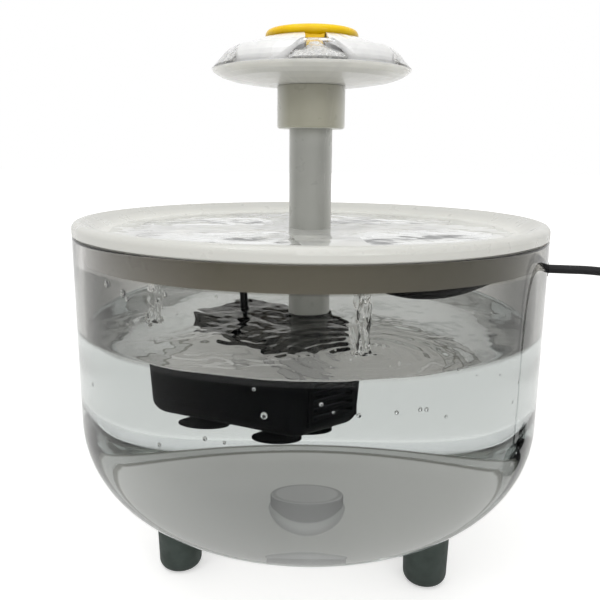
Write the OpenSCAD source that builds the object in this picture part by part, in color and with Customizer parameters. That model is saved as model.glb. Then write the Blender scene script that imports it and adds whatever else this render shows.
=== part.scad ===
// Pet water fountain: clear round tank on three feet, drinking tray, riser tube with a
// five-petal flower, and a small submersible pump that hangs on the riser.
// Millimetres, +Z up, origin on the table under the middle of the tank. Front is -Y.

/* [Tank] */
// Outer diameter of the tank and of the tray's lip
tank_d = 190; // [180:1:200]
// Height of the tank from its underside to its rim
tank_h = 114; // [108:1:124]
// Thickness of the tank wall and floor
tank_wall = 3.2; // [2.4:0.2:4]
// Outer radius of the tank's lower corner
corner_r = 40; // [34:1:44]
// Radius of the raised moulding boss in the middle of the floor
boss_r = 11.7; // [9:0.1:14]
// Height of the raised moulding boss
boss_h = 5.6; // [3:0.2:8]

/* [Feet] */
// Height of the tank's underside above the table
leg_h = 26; // [20:1:34]
// Diameter of a foot where it meets the tank
foot_d = 19; // [16:0.5:22]
// Diameter of a foot at the table
foot_base_d = 17.5; // [15:0.5:19]
// Distance of the middle of each foot from the outside of the tank wall
foot_inset = 36; // [33:1:41]
// Diameter of the tank's peg inside a foot
peg_d = 9; // [6:0.5:11]

/* [Tray] */
// Height of the tray's lip above the tank rim
lip_h = 5.3; // [4.5:0.1:7]
// Depth of the tray's deck below the top of the lip
dish_depth = 5; // [4:0.1:5.4]
// Thickness of the tray's deck
deck_t = 2; // [1.6:0.1:2.6]
// Depth of the four shallow basins in the deck
basin_depth = 1.8; // [1:0.1:3]
// Length of the skirt below the tank rim
skirt_h = 9; // [6:0.5:10]
// Thickness of the skirt
skirt_t = 2; // [1.5:0.1:2.5]
// Diameter of a drain hole
drain_d = 7; // [6:0.5:8]
// Distance of each drain hole from the middle of the tray
drain_reach = 65; // [58:1:68]
// Angle by which the drain holes are turned
drain_turn = 20; // [18:1:22]
// Angle by which the basins are turned
basin_turn = 14; // [12:1:16]

/* [Riser] */
// Outer diameter of the riser tube
tube_d = 17.5; // [16:0.1:19]
// Wall of the riser tube
tube_wall = 1.85; // [1.4:0.05:2.2]
// Height of the flower's collar above the tank rim
flower_rise = 41; // [36:1:60]

/* [Flower] */
// Outer diameter of the collar
collar_d = 27.3; // [25:0.1:30]
// Height of the collar
collar_h = 16.4; // [15:0.2:20]
// Diameter of the retainer disc
retainer_d = 34.4; // [32:0.1:37]
// Diameter of the clear dish
dish_d = 79; // [74:1:84]
// Diameter over the petal tips
petal_d = 72.2; // [66:0.2:72.6]
// Number of petals
petals = 5; // [4:1:6]
// Width of the channel between two petals
channel_w = 8; // [6:0.5:9]
// Diameter of the yellow centre
nozzle_d = 36.8; // [34:0.2:39]
// Angle by which the flower is turned on the tube
flower_turn = 8; // [0:1:30]

/* [Pump] */
// Length of the pump housing
pump_len = 62; // [58:1:68]
// Width of the pump housing
pump_w = 36; // [34:0.5:42]
// Height of the pump housing
pump_h = 28.5; // [27:0.5:33]
// Depth of the pump's deck below the tank rim
pump_hang = 46.5; // [44:0.5:50]
// Angle by which the pump is turned on the riser
pump_turn = -33; // [-50:1:-20]
// Diameter of a suction cup
cup_d = 16; // [14:0.5:17]
// Height of a suction cup
cup_h = 3.5; // [3:0.1:5]
// Diameter of the rotor magnet
rotor_d = 13.4; // [12:0.1:13.8]
// Diameter of the ceramic shaft
shaft_d = 2.3; // [2:0.1:3]
// Number of impeller blades
blades = 6; // [4:1:8]

/* [Lead] */
// Diameter of the lead
lead_d = 3.5; // [3.2:0.1:3.6]
// Depth of the lead's exit below the tank rim
exit_drop = 13; // [12.5:0.5:14]
// Angle of the lead's exit around the tank
exit_angle = -5; // [-8:1:-2]
// Width of the cable slot
slot_w = 5; // [4.6:0.2:5.4]

/* [Hidden] */

$fn = 96;
eps = 0.01;
gap = 0.2;            // running gap between pieces that part by hand
snug = 0.1;           // gap between pieces that stay together

// Tank
tank_r = tank_d / 2;
foot_reach = tank_r - foot_inset;
inner_r = tank_r - tank_wall;
rim_z = leg_h + tank_h;
floor_z = leg_h + tank_wall;
peg_h = 5;
peg_base_z = leg_h + 1;
foot_angles = [-150, -30, 90];
foot_hug = 4;         // depth of foot above the tank's underside, trimmed to its curve
foot_round = 4;

// Cable slot and grommet
exit_z = rim_z - exit_drop;
grommet_flange_t = 1.2;
grommet_flange_r = slot_w / 2 + 0.9;
exit_r = tank_r + grommet_flange_t;

// Tray
seat_z = rim_z + gap;
lip_top = rim_z + lip_h;
lip_round = 2.4;
shadow_gap = 0.75;    // dark line under the lip
seat_w = 1.5;
skirt_r = inner_r - 1.2;
skirt_in = skirt_r - skirt_t;
deck_top = lip_top - dish_depth;
deck_under = deck_top - deck_t;
border_w = 8;         // sloping border round the deck
deck_r = skirt_in - border_w - 4.6;
basin_in = 20;
basin_out = deck_r - 2;
basin_rib = 12;       // half the width of the ribs between basins
basin_round = 11;
basin_wall = 1.6;
basin_under = deck_top - basin_depth - deck_t;

// Riser and its grommet
tube_r = tube_d / 2;
tube_in = tube_r - tube_wall;
grommet_in = tube_r + gap;
grommet_out = grommet_in + 1.4;
hub_in = grommet_out + snug;
hub_wall = 2.2;
hub_under = deck_under - 6.6;
grommet_lip = 1.2;

// Pump heights and places
pump_top = rim_z - pump_hang;
pump_z = pump_top - pump_h;
outlet_boss_h = 10.7;
outlet_boss_r = tube_r + 0.85;
spigot_r = tube_in - gap;
spigot_h = 12;
outlet_x = pump_len / 2 - 15;
outlet_y = pump_w / 2 - 11.6;
duct_r = spigot_r - 2.1;
tube_z = pump_top + outlet_boss_h + gap;

// Flower heights
collar_r = collar_d / 2;
collar_z = rim_z + flower_rise;
collar_top = collar_z + collar_h;
socket_r = tube_r + gap;
socket_h = 12;
tube_top = collar_z + socket_h - gap;
collar_bore = 6.6;
collar_neck_r = 10;
neck_h = 4.2;
dish_t = 1.2;
dish_step = 8;
retainer_r = retainer_d / 2;
retainer_h = 3;
dish_r = dish_d / 2;
petal_r = petal_d / 2;
petal_t = 2;
nozzle_r = nozzle_d / 2;
petal_in = nozzle_r + 0.4;
cap_floor_z = collar_top + dish_t + retainer_h + 0.1;
cap_floor_t = 1.6;
petal_rise = 17.8;
petal_tip_rise = 6;
petal_round = 8;
petal_top_z = collar_top + petal_rise;
petal_tip_z = collar_top + petal_tip_rise;
nozzle_z = petal_top_z - 1;
nozzle_h = 4.4;
nozzle_stem_r = collar_bore - gap;
nozzle_bore = 4.2;

// Pump inside, in the pump's own frame: x along the housing, z up from its underside
wall_p = 2.3;
axis_z = pump_h / 2;
edge_r = 6;
edge_top_r = 4.5;
shell_p = 2.5;
edge_wall = 1.8;
split_x = pump_len / 2 - 20;
split_z = 7;
cavity_x0 = -pump_len / 2 + shell_p;
cavity_x1 = split_x - 1.5;
cavity_y = pump_w / 2 - shell_p;
cavity_top = pump_h - 2.4;
rotor_r = rotor_d / 2;
well_r = rotor_r + 0.5;
well_wall = 1.6;
bush_r = 3;
bush_len = 2.2;
shaft_r = shaft_d / 2;
shaft_gap = 0.08;
chamber_r = 10.1;
chamber_x0 = split_x + 1;
volute_t = 1.6;
cover_t = 2.6;
cover_x = pump_len / 2 - cover_t;
volute_x = cover_x - 8.2;
cover_w = 25;
cover_h = 19;
impeller_r = 8.8;
core_h = 9;
core_x0 = cavity_x0 + 3.5;
core_x1 = cavity_x1 - 0.5;
core_y = cavity_y - 0.6;
yoke_t = 4;
pole_t = 7;
coil_grow = 3.2;
well_end = core_x0 + yoke_t + coil_grow + 4.8;
well_x0 = well_end + 3.8;
board_z = wall_p + snug;
board_t = 1;
board_y = core_y - 2.5;
chip_len = 6;
chip_w = 4;
chip_h = 1.2;
gland_x = -pump_len / 2 + 14;
gland_y = 1;
gland_r = 3.6;
gland_h = 4.2;
cup_x = pump_len / 2 - 16.4;
cup_y = pump_w / 2 - 10;
stem_r = 2.2;
stem_h = 1.7;
cup_neck_r = 4;
cup_lip = 0.6;
cup_wall = 1.1;

// Lead
lead_r = lead_d / 2;
lead_sides = 8;

// Free lead outside: straight out of the grommet, down to the table, then into the coil
outer_route = [
    [94.4, -8.25, 127], [104, -9.1, 127], [112, -9.8, 126.9], [120, -10.4, 126], [128, -11, 123],
    [135, -11.4, 117.5], [140, -11.7, 110], [143, -12, 101], [144.5, -12.2, 91], [145, -12.3, 81],
    [145, -12.4, 71], [145, -12.4, 61], [145.5, -12.5, 51], [146.5, -12.5, 41],
    [148.5, -12.5, 31.5], [152, -12.5, 22.5], [157, -12.5, 14], [163.5, -12.5, 7],
    [171, -12.5, 3.5], [180, -12.5, 2.6]];
coil_at = [180, 12];
coil_rise = 0.8;
coil_out = 26.3;
coil_in = 11.3;
coil_h = 7;
tail_route = [[204.5, 12, 6], [204.6, 18, 5.9], [204.8, 24, 5.3], [205, 30, 4.5], [205, 36, 4.5]];
plug_at = [205, 36, 4.5];
relief_len = 12;
plug_len = 24;
plug_w = 15.6;
plug_h = 9;
shell_len = 12;
shell_w = 12;
shell_h = 4.5;
shell_t = 0.4;

// Lead inside the tank, with heights from the slot: up from the pump to the clip under the
// tray, then round behind the riser, down towards the water and up to the slot
lower_points = [
    [-30.6, 13.4, -32], [-30.6, 13.4, -26], [-30.8, 13.7, -20], [-31.5, 14.6, -14],
    [-32.2, 15.6, -9], [-32.2, 16.2, -4.6], [-31.7, 16.9, -1.2], [-31, 17.8, 1.2], [-30.3, 18.9, 2.5]];
upper_points = [
    [-30.3, 18.9, 2.5], [-29.6, 20, 3.8], [-28.1, 22.2, 5.1], [-25.6, 25.6, 5.8], [-20, 30.4, 5.6],
    [-12.6, 33.4, 4], [-4, 34.8, 1], [5, 34.4, -3], [13.4, 32, -8.2], [21.4, 28, -13],
    [29.6, 23.2, -16.2], [38.4, 17.8, -17.4], [47.4, 11.6, -17], [56.4, 5.2, -15],
    [65, -0.4, -11.6], [73, -4.2, -7.4], [80, -6.4, -3.2], [86.4, -7.5, -0.6],
    [91.2, -8, 0], [94.4, -8.25, 0]];
lower_route = [for (p = lower_points) p + [0, 0, exit_z]];
upper_route = [for (p = upper_points) p + [0, 0, exit_z]];
clip_point = 2;

function unit(v) = v / norm(v);
function tangent(p, i) = unit(p[min(i + 1, len(p) - 1)] - p[max(i - 1, 0)]);
function across(v, t) = unit(v - (v * t) * t);
function ring_ups(p, up, i = 0) =
    i == len(p) ? [] :
    let (u = across(up, tangent(p, i))) concat([u], ring_ups(p, u, i + 1));
function ring(c, t, u, r, n) =
    let (w = cross(t, u)) [for (k = [0 : n - 1]) c + r * (cos(360 * k / n) * u + sin(360 * k / n) * w)];

// Round tube swept along a list of points
module swept_tube(route, r, sides, up) {
    ups = ring_ups(route, up);
    rings = [for (i = [0 : len(route) - 1]) each ring(route[i], tangent(route, i), ups[i], r, sides)];
    last = (len(route) - 1) * sides;
    walls = [for (i = [0 : len(route) - 2]) for (k = [0 : sides - 1])
        let (a = i * sides + k, b = i * sides + (k + 1) % sides)
        [a, a + sides, b + sides, b]];
    first_cap = [[for (k = [0 : sides - 1]) k]];
    last_cap = [[for (k = [0 : sides - 1]) last + sides - 1 - k]];
    polyhedron(points = rings, faces = concat(walls, first_cap, last_cap));
}

// Half section of the bowl: flat floor, round corner, straight wall
module bowl_section(r, z0, z1, corner) {
    translate([0, z0]) square([r - corner, z1 - z0]);
    translate([0, z0 + corner]) square([r, z1 - z0 - corner]);
    translate([r - corner, z0 + corner]) circle(corner);
}

module bowl_outside(z1) {
    rotate_extrude($fn = 128) bowl_section(tank_r, leg_h, z1, corner_r);
}

// Tank -------------------------------------------------------------------------------------

module tank_bowl() {
    color([0.86, 0.9, 0.9, 0.35])
    difference() {
        union() {
            difference() {
                bowl_outside(rim_z);
                rotate_extrude($fn = 128)
                    bowl_section(inner_r, floor_z, rim_z + corner_r, corner_r - tank_wall);
            }
            translate([0, 0, leg_h]) cylinder(r = boss_r, h = tank_wall + boss_h);
            for (a = foot_angles) rotate(a) translate([foot_reach, 0, peg_base_z - peg_h])
                cylinder(d = peg_d, h = peg_h + tank_wall / 2);
        }
        translate([0, 0, leg_h - eps]) cylinder(r = boss_r - tank_wall, h = boss_h);
        cable_slot();
    }
}

module cable_slot() {
    rotate(exit_angle) {
        translate([tank_r - 3 * tank_wall, 0, exit_z]) rotate([0, 90, 0])
            cylinder(d = slot_w, h = 6 * tank_wall, $fn = 48);
        translate([tank_r - 3 * tank_wall, -slot_w / 2, exit_z])
            cube([6 * tank_wall, slot_w, exit_drop + 1]);
    }
}

module foot(angle) {
    color([0.24, 0.26, 0.25])
    difference() {
        rotate(angle) translate([foot_reach, 0, 0]) difference() {
            rotate_extrude() {
                translate([0, 0]) square([foot_base_d / 2 - foot_round, foot_round]);
                translate([foot_base_d / 2 - foot_round, foot_round]) circle(foot_round);
                polygon([[0, foot_round], [foot_base_d / 2, foot_round],
                    [foot_d / 2, leg_h + foot_hug], [0, leg_h + foot_hug]]);
            }
            translate([0, 0, peg_base_z - peg_h - 1])
                cylinder(d = peg_d + 2 * snug, h = peg_h + foot_hug + 2);
        }
        bowl_outside(rim_z);
    }
}

module foot_front_left() {
    foot(foot_angles[0]);
}

module foot_front_right() {
    foot(foot_angles[1]);
}

module foot_rear() {
    foot(foot_angles[2]);
}

module cable_grommet() {
    color([0.05, 0.05, 0.05])
    rotate(exit_angle) translate([inner_r - grommet_flange_t, 0, exit_z]) rotate([0, 90, 0])
    difference() {
        union() {
            cylinder(r = grommet_flange_r, h = grommet_flange_t - snug, $fn = 48);
            cylinder(d = slot_w - 2 * snug, h = tank_wall + 2 * grommet_flange_t, $fn = 48);
            translate([0, 0, grommet_flange_t + tank_wall + snug])
                cylinder(r = grommet_flange_r, h = grommet_flange_t - snug, $fn = 48);
        }
        translate([0, 0, -eps]) cylinder(r = lead_r, h = tank_wall + 3 * grommet_flange_t, $fn = 48);
    }
}

// Tray -------------------------------------------------------------------------------------

// One basin: a rounded sector between two ribs
module basin_outline(grow) {
    offset(r = basin_round + grow) offset(delta = -basin_round)
    intersection() {
        difference() {
            circle(basin_out);
            circle(basin_in);
        }
        translate([basin_rib, basin_rib]) square(basin_out);
    }
}

module drinking_tray() {
    color([0.94, 0.94, 0.92])
    difference() {
        union() {
            rotate_extrude($fn = 128) tray_section();
            for (q = [0 : 3]) rotate(basin_turn + 90 * q)
                translate([0, 0, basin_under])
                    linear_extrude(deck_top - basin_under - eps) basin_outline(basin_wall);
            translate([0, 0, hub_under]) cylinder(r = hub_in + hub_wall, h = deck_top - hub_under - eps);
        }
        for (q = [0 : 3]) rotate(basin_turn + 90 * q)
            translate([0, 0, deck_top - basin_depth])
                linear_extrude(basin_depth + 1) basin_outline(0);
        for (q = [0 : 3]) rotate(drain_turn + 90 * q) translate([drain_reach, 0, basin_under - 1])
            cylinder(d = drain_d, h = deck_t + basin_depth + 4, $fn = 48);
        translate([0, 0, hub_under - 1]) cylinder(r = hub_in, h = deck_top - hub_under + 2);
    }
}

// Half section of the tray: deck, sloping border, round lip, seat on the rim and skirt
module tray_section() {
    lip_in = tank_r - lip_round;
    polygon([
        [hub_in - 1, deck_under], [deck_r, deck_under], [deck_r + border_w, deck_under + 1],
        [skirt_in, deck_under + 2.6], [skirt_in, rim_z - skirt_h], [skirt_r, rim_z - skirt_h],
        [skirt_r, seat_z], [inner_r + seat_w, seat_z], [inner_r + seat_w, rim_z + shadow_gap],
        [tank_r, rim_z + shadow_gap], [tank_r, lip_top - lip_round], [lip_in, lip_top - lip_round],
        [lip_in, lip_top], [lip_in - 1.2, lip_top], [deck_r + border_w, deck_top + 1.1],
        [deck_r, deck_top], [hub_in - 1, deck_top]]);
    translate([lip_in, lip_top - lip_round]) circle(lip_round);
}

module riser_grommet() {
    color([0.9, 0.9, 0.88])
    difference() {
        union() {
            translate([0, 0, hub_under]) cylinder(r = grommet_out, h = deck_top - hub_under);
            translate([0, 0, hub_under - grommet_lip]) cylinder(r = hub_in + 2, h = grommet_lip);
        }
        translate([0, 0, hub_under - grommet_lip - 1])
            cylinder(r = grommet_in, h = deck_top - hub_under + 4);
    }
}

// Ring round the lead on a short post under the tray
module lead_clip() {
    clip_at = upper_route[clip_point];
    along = tangent(upper_route, clip_point);
    pad_z = basin_under - clip_at[2];
    ring_r = lead_r + 1.5;
    color([0.9, 0.9, 0.88])
    translate(clip_at) {
        rotate([0, acos(along[2]), atan2(along[1], along[0])]) difference() {
            cylinder(r = ring_r, h = 3, center = true, $fn = 48);
            cylinder(r = lead_r + gap, h = 12, center = true, $fn = 48);
        }
        translate([0, 0, ring_r - 0.5]) cylinder(r = 1.6, h = pad_z - ring_r + 0.5, $fn = 32);
        translate([0, 0, pad_z - 0.8]) cylinder(r = 4, h = 0.8, $fn = 32);
    }
}

// Riser ------------------------------------------------------------------------------------

module riser_tube() {
    color([0.93, 0.93, 0.92])
    translate([0, 0, tube_z]) difference() {
        cylinder(r = tube_r, h = tube_top - tube_z);
        translate([0, 0, -1]) cylinder(r = tube_in, h = tube_top - tube_z + 2);
    }
}

// Flower -----------------------------------------------------------------------------------

module flower_collar() {
    color([0.92, 0.92, 0.9])
    difference() {
        rotate_extrude() {
            translate([0, collar_z + 1]) square([collar_r, collar_h - 1]);
            translate([0, collar_z]) square([collar_r - 1, collar_h]);
            translate([collar_r - 1, collar_z + 1]) circle(1, $fn = 48);
            translate([0, collar_top - eps]) square([collar_neck_r, neck_h]);
        }
        translate([0, 0, collar_z - 1]) cylinder(r = socket_r, h = socket_h + 1);
        cylinder(r = collar_bore, h = collar_top + neck_h + 1);
    }
}

// Clear saucer that catches the water under the petals
module flower_dish() {
    base_r = retainer_r + 0.6;
    step_r = base_r + dish_step;
    color([0.85, 0.87, 0.86, 0.5])
    rotate_extrude() polygon([
        [collar_neck_r + snug, collar_top], [base_r, collar_top + 0.2], [step_r, collar_top + 1.2],
        [dish_r - 6.6, collar_top + 2.4], [dish_r - 3, collar_top + 3.6], [dish_r - 0.8, collar_top + 4.9],
        [dish_r, collar_top + 5.8], [dish_r - 1.2, collar_top + 6], [dish_r - 3.4, collar_top + 4.9],
        [dish_r - 6.6, collar_top + 2.4 + dish_t], [step_r, collar_top + 1.2 + dish_t],
        [base_r, collar_top + dish_t], [collar_neck_r + snug, collar_top + dish_t]]);
}

module dish_retainer() {
    color([0.92, 0.92, 0.9])
    translate([0, 0, collar_top + dish_t]) difference() {
        cylinder(r = retainer_r, h = retainer_h);
        translate([0, 0, -1]) cylinder(r = collar_neck_r + snug, h = retainer_h + 2);
    }
}

// One petal seen from above, between two channels, with round outer corners
module petal_outline(inset) {
    pitch = 360 / petals;
    reach = 2 * petal_r;
    shift = (channel_w / 2 + inset) / sin(pitch / 2);
    offset(r = petal_round) offset(delta = -petal_round)
    intersection() {
        circle(petal_r - inset);
        translate([shift, 0]) polygon([[0, 0],
            [reach * cos(pitch / 2), reach * sin(pitch / 2)], [reach * 2, 0],
            [reach * cos(pitch / 2), -reach * sin(pitch / 2)]]);
    }
}

// Half section of the petals: a drooping shell with an inner wall
module petal_section(t) {
    shoulder_r = petal_r - 4.9;
    shoulder_z = petal_tip_z + 7.4;
    polygon([
        [petal_in, cap_floor_z], [petal_in, petal_top_z], [petal_in + 3.4, petal_top_z - 0.9],
        [shoulder_r, shoulder_z], [petal_r - 2.9, petal_tip_z + 6.2],
        [petal_r - 1.3, petal_tip_z + 4.2], [petal_r - 0.4, petal_tip_z + 2.1],
        [petal_r, petal_tip_z], [petal_r, petal_tip_z - 0.6], [petal_r - 0.6 * t, petal_tip_z - 0.7],
        [petal_r - 0.4 - 0.7 * t, petal_tip_z + 2.1 - 0.25 * t],
        [petal_r - 1.3 - 0.8 * t, petal_tip_z + 4.2 - 0.35 * t],
        [petal_r - 2.9 - 0.7 * t, petal_tip_z + 6.2 - 0.7 * t], [shoulder_r - 1, shoulder_z - t],
        [petal_in + 3, petal_top_z - 0.9 - t], [petal_in + 1.6, petal_top_z - 3.4],
        [petal_in + 1.6, cap_floor_z]]);
}

module petal_cap() {
    pitch = 360 / petals;
    color([0.95, 0.95, 0.95])
    rotate(flower_turn - 90 + pitch / 2) {
        intersection() {
            rotate_extrude($fn = 96) petal_section(petal_t);
            for (i = [0 : petals - 1]) rotate(i * pitch)
                translate([0, 0, collar_top]) linear_extrude(petal_rise + 1) petal_outline(0);
        }
        translate([0, 0, cap_floor_z]) difference() {
            cylinder(r = petal_in + 1.6, h = cap_floor_t);
            translate([0, 0, -1]) cylinder(r = collar_neck_r + snug, h = cap_floor_t + 2);
        }
    }
}

module flower_nozzle() {
    pitch = 360 / petals;
    spout_w = channel_w - 2 * gap - 0.2;
    spout_z = cap_floor_z + cap_floor_t + gap;
    rim_round = nozzle_h / 2;
    color([0.86, 0.64, 0.06])
    difference() {
        union() {
            rotate_extrude() {
                translate([0, nozzle_z]) square([nozzle_r - rim_round, nozzle_h]);
                translate([nozzle_r - rim_round, nozzle_z + rim_round]) circle(rim_round, $fn = 48);
            }
            translate([0, 0, collar_z + socket_h + 1.4])
                cylinder(r = nozzle_stem_r, h = nozzle_z - collar_z - socket_h - 1);
            translate([0, 0, spout_z]) cylinder(r = collar_neck_r - 1, h = nozzle_z - spout_z + 1);
            for (i = [0 : petals - 1]) rotate(flower_turn - 90 + i * pitch)
                translate([0, 0, spout_z + 0.5]) spout(spout_w, nozzle_z - spout_z + 0.5);
        }
        translate([0, 0, collar_z]) cylinder(r = nozzle_bore, h = nozzle_z - collar_z + 0.6);
        for (i = [0 : petals - 1]) rotate(flower_turn - 90 + i * pitch)
            translate([0, 0, spout_z + 5]) rotate([0, 90, 0])
                cylinder(d = 4.4, h = nozzle_r + 6, $fn = 32);
    }
}

// Yellow tongue that fills a channel, slopes outwards and narrows downwards
module spout(w, h) {
    root = collar_neck_r - 2;
    reach = nozzle_r + 3;
    taper = 1;
    intersection() {
        translate([0, w / 2, 0]) rotate([90, 0, 0]) linear_extrude(w)
            polygon([[root, 0], [reach, 0], [reach, 1], [nozzle_r - 1, h], [root, h]]);
        rotate([90, 0, 90]) linear_extrude(reach)
            polygon([[taper - w / 2, 0], [w / 2 - taper, 0], [w / 2, h], [-w / 2, h]]);
    }
}

// Pump -------------------------------------------------------------------------------------

// Puts a piece from the pump's own frame in its place under the riser
module in_pump() {
    rotate(pump_turn) translate([-outlet_x, -outlet_y, pump_z]) children();
}

// Rounded block of the pump, or the same block with its rounded edges drawn in
module pump_form(inset = 0) {
    hull() {
        for (sx = [-1, 1], sy = [-1, 1]) {
            translate([sx * (pump_len / 2 - edge_r - 0.8), sy * (pump_w / 2 - edge_r - 0.6), edge_r])
                sphere(edge_r - inset, $fn = 32);
            translate([sx * (pump_len / 2 - edge_top_r), sy * (pump_w / 2 - edge_top_r), pump_h - 1])
                cylinder(r = edge_top_r - inset, h = 0.5, $fn = 32);
            translate([sx * (pump_len / 2 - edge_top_r), sy * (pump_w / 2 - edge_top_r), pump_h - 0.5])
                cylinder(r = edge_top_r - 0.5 - inset, h = 0.5, $fn = 32);
        }
    }
}

module along_x(x, r, h, fn = 64) {
    translate([x, 0, axis_z]) rotate([0, 90, 0]) cylinder(r = r, h = h, $fn = fn);
}

module base_zone(shrink) {
    translate([-pump_len, -pump_w, -pump_h])
        cube([pump_len + split_x - shrink, 2 * pump_w, pump_h + split_z - shrink]);
}

module motor_cavity(shrink = 0) {
    intersection() {
        translate([cavity_x0 + shrink, -cavity_y + shrink, wall_p + shrink])
            cube([cavity_x1 - cavity_x0 - 2 * shrink, 2 * (cavity_y - shrink),
                cavity_top - wall_p - 2 * shrink]);
        pump_form(edge_wall + shrink);
    }
}

module rotor_well() {
    along_x(well_end, well_r + well_wall, split_x - well_end);
}

module cup_sockets() {
    for (sx = [-1, 1], sy = [-1, 1]) translate([sx * cup_x, sy * cup_y, -1])
        cylinder(r = stem_r, h = 1 + stem_h + snug, $fn = 32);
}

module pump_housing() {
    color([0.06, 0.06, 0.065])
    in_pump() difference() {
        union() {
            difference() {
                union() {
                    pump_form();
                    translate([outlet_x, outlet_y, pump_h - 2])
                        cylinder(r = outlet_boss_r, h = outlet_boss_h + 2);
                    translate([outlet_x, outlet_y, pump_h])
                        cylinder(r = spigot_r, h = outlet_boss_h + spigot_h);
                }
                base_zone(0);
                motor_cavity();
            }
            rotor_well();
        }
        along_x(well_x0, well_r, split_x - well_x0 + 2);
        along_x(well_x0 - bush_len, bush_r + snug / 2, bush_len + 1);
        along_x(chamber_x0, chamber_r, pump_len);
        translate([outlet_x, outlet_y, axis_z]) cylinder(r = duct_r, h = pump_h + outlet_boss_h + spigot_h);
        translate([cover_x - snug, -cover_w / 2 - snug, axis_z - cover_h / 2 - snug])
            cube([cover_t + 2, cover_w + 2 * snug, cover_h + 2 * snug]);
        translate([gland_x, gland_y, cavity_top - 1])
            cylinder(r = gland_r - 1 + snug / 2, h = pump_h, $fn = 48);
        cup_sockets();
    }
}

module pump_base() {
    color([0.07, 0.07, 0.075])
    in_pump() difference() {
        intersection() {
            pump_form();
            base_zone(snug);
        }
        motor_cavity();
        along_x(well_end - 1, well_r + well_wall + snug, pump_len);
        cup_sockets();
    }
}

module stator_core_form(bored = true) {
    difference() {
        for (sy = [-1, 1]) {
            translate([core_x0, sy > 0 ? core_y - yoke_t : -core_y, axis_z - core_h / 2])
                cube([core_x1 - core_x0, yoke_t, core_h]);
            translate([well_x0, sy > 0 ? core_y - pole_t : -core_y, axis_z - core_h / 2])
                cube([core_x1 - well_x0, pole_t, core_h]);
        }
        if (bored) along_x(well_end - 1, well_r + well_wall + snug, pump_len);
    }
    translate([core_x0, -core_y, axis_z - core_h / 2]) cube([yoke_t, 2 * core_y, core_h]);
}

module stator_core() {
    color([0.45, 0.46, 0.48])
    in_pump() stator_core_form();
}

module stator_coil_form(hollow) {
    coil_len = 2 * core_y - 2 * yoke_t - 2;
    difference() {
        translate([core_x0 - coil_grow, -coil_len / 2, axis_z - core_h / 2 - coil_grow])
            cube([yoke_t + 2 * coil_grow, coil_len, core_h + 2 * coil_grow]);
        if (hollow) {
            translate([core_x0 - snug, -pump_w, axis_z - core_h / 2 - snug])
                cube([yoke_t + 2 * snug, 2 * pump_w, core_h + 2 * snug]);
        }
    }
}

module stator_coil() {
    color([0.72, 0.36, 0.16])
    in_pump() stator_coil_form(true);
}

module driver_board_form(bored = true) {
    difference() {
        translate([core_x0, -board_y, board_z])
            cube([core_x1 - core_x0 - 2, 2 * board_y, board_t]);
        if (bored) along_x(well_end - 1, well_r + well_wall + snug, pump_len);
    }
    for (sy = [-1, 1]) translate([well_x0 + 2.2, sy * (board_y - chip_w / 2 - 0.5) - chip_w / 2, board_z])
        cube([chip_len, chip_w, board_t + chip_h]);
}

module driver_board() {
    color([0.1, 0.35, 0.18])
    in_pump() driver_board_form();
}

// Resin that fills what is left of the motor cavity
module potting_resin() {
    color([0.12, 0.12, 0.12])
    in_pump() difference() {
        motor_cavity(snug);
        along_x(well_end - snug, well_r + well_wall + snug, pump_len);
        stator_core_form(false);
        stator_coil_form(false);
        driver_board_form(false);
    }
}

module rear_bush() {
    color([0.15, 0.15, 0.15])
    in_pump() difference() {
        along_x(well_x0 - bush_len + snug / 2, bush_r, bush_len - snug / 2, 48);
        along_x(well_x0 - bush_len - 1, shaft_r, bush_len + 2, 48);
    }
}

module motor_shaft() {
    shaft_x0 = well_x0 - bush_len + snug;
    color([0.93, 0.92, 0.88])
    in_pump() along_x(shaft_x0, shaft_r, volute_x + bush_len - 0.4 - shaft_x0, 48);
}

module cable_gland() {
    color([0.04, 0.04, 0.04])
    in_pump() translate([gland_x, gland_y, 0]) difference() {
        union() {
            translate([0, 0, cavity_top]) cylinder(r = gland_r - 1, h = pump_h - cavity_top + 1, $fn = 48);
            translate([0, 0, pump_h]) cylinder(r = gland_r, h = gland_h - 1, $fn = 48);
            translate([0, 0, pump_h]) cylinder(r = gland_r - 0.8, h = gland_h, $fn = 48);
        }
        translate([0, 0, pump_h - 0.6]) cylinder(r = lead_r + gap, h = gland_h + 2, $fn = 48);
    }
}

module suction_cup(sx, sy) {
    cup_r = cup_d / 2;
    color([0.05, 0.05, 0.055])
    in_pump() translate([sx * cup_x, sy * cup_y, 0]) rotate_extrude($fn = 64) polygon([
        [0, stem_h], [stem_r - snug, stem_h], [stem_r - snug, -snug], [cup_neck_r, -0.3],
        [cup_neck_r + 0.8, -cup_wall], [cup_r, cup_lip - cup_h], [cup_r, -cup_h], [cup_r - 1, -cup_h],
        [cup_neck_r + 0.4, -2 * cup_wall], [0, -1.8 * cup_wall]]);
}

module suction_cup_1() {
    suction_cup(-1, -1);
}

module suction_cup_2() {
    suction_cup(1, -1);
}

module suction_cup_3() {
    suction_cup(1, 1);
}

module suction_cup_4() {
    suction_cup(-1, 1);
}

module intake_cover() {
    slots = 5;
    slot_pitch = (cover_h - 3) / slots;
    color([0.06, 0.06, 0.065])
    in_pump() translate([cover_x, 0, axis_z]) difference() {
        translate([0, -cover_w / 2, -cover_h / 2]) cube([cover_t, cover_w, cover_h]);
        for (i = [0 : slots - 1])
            translate([-1, -cover_w / 2 + 2.5, (i - (slots - 1) / 2) * slot_pitch - slot_pitch / 4])
                cube([cover_t + 2, cover_w - 5, slot_pitch / 2]);
    }
}

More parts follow.
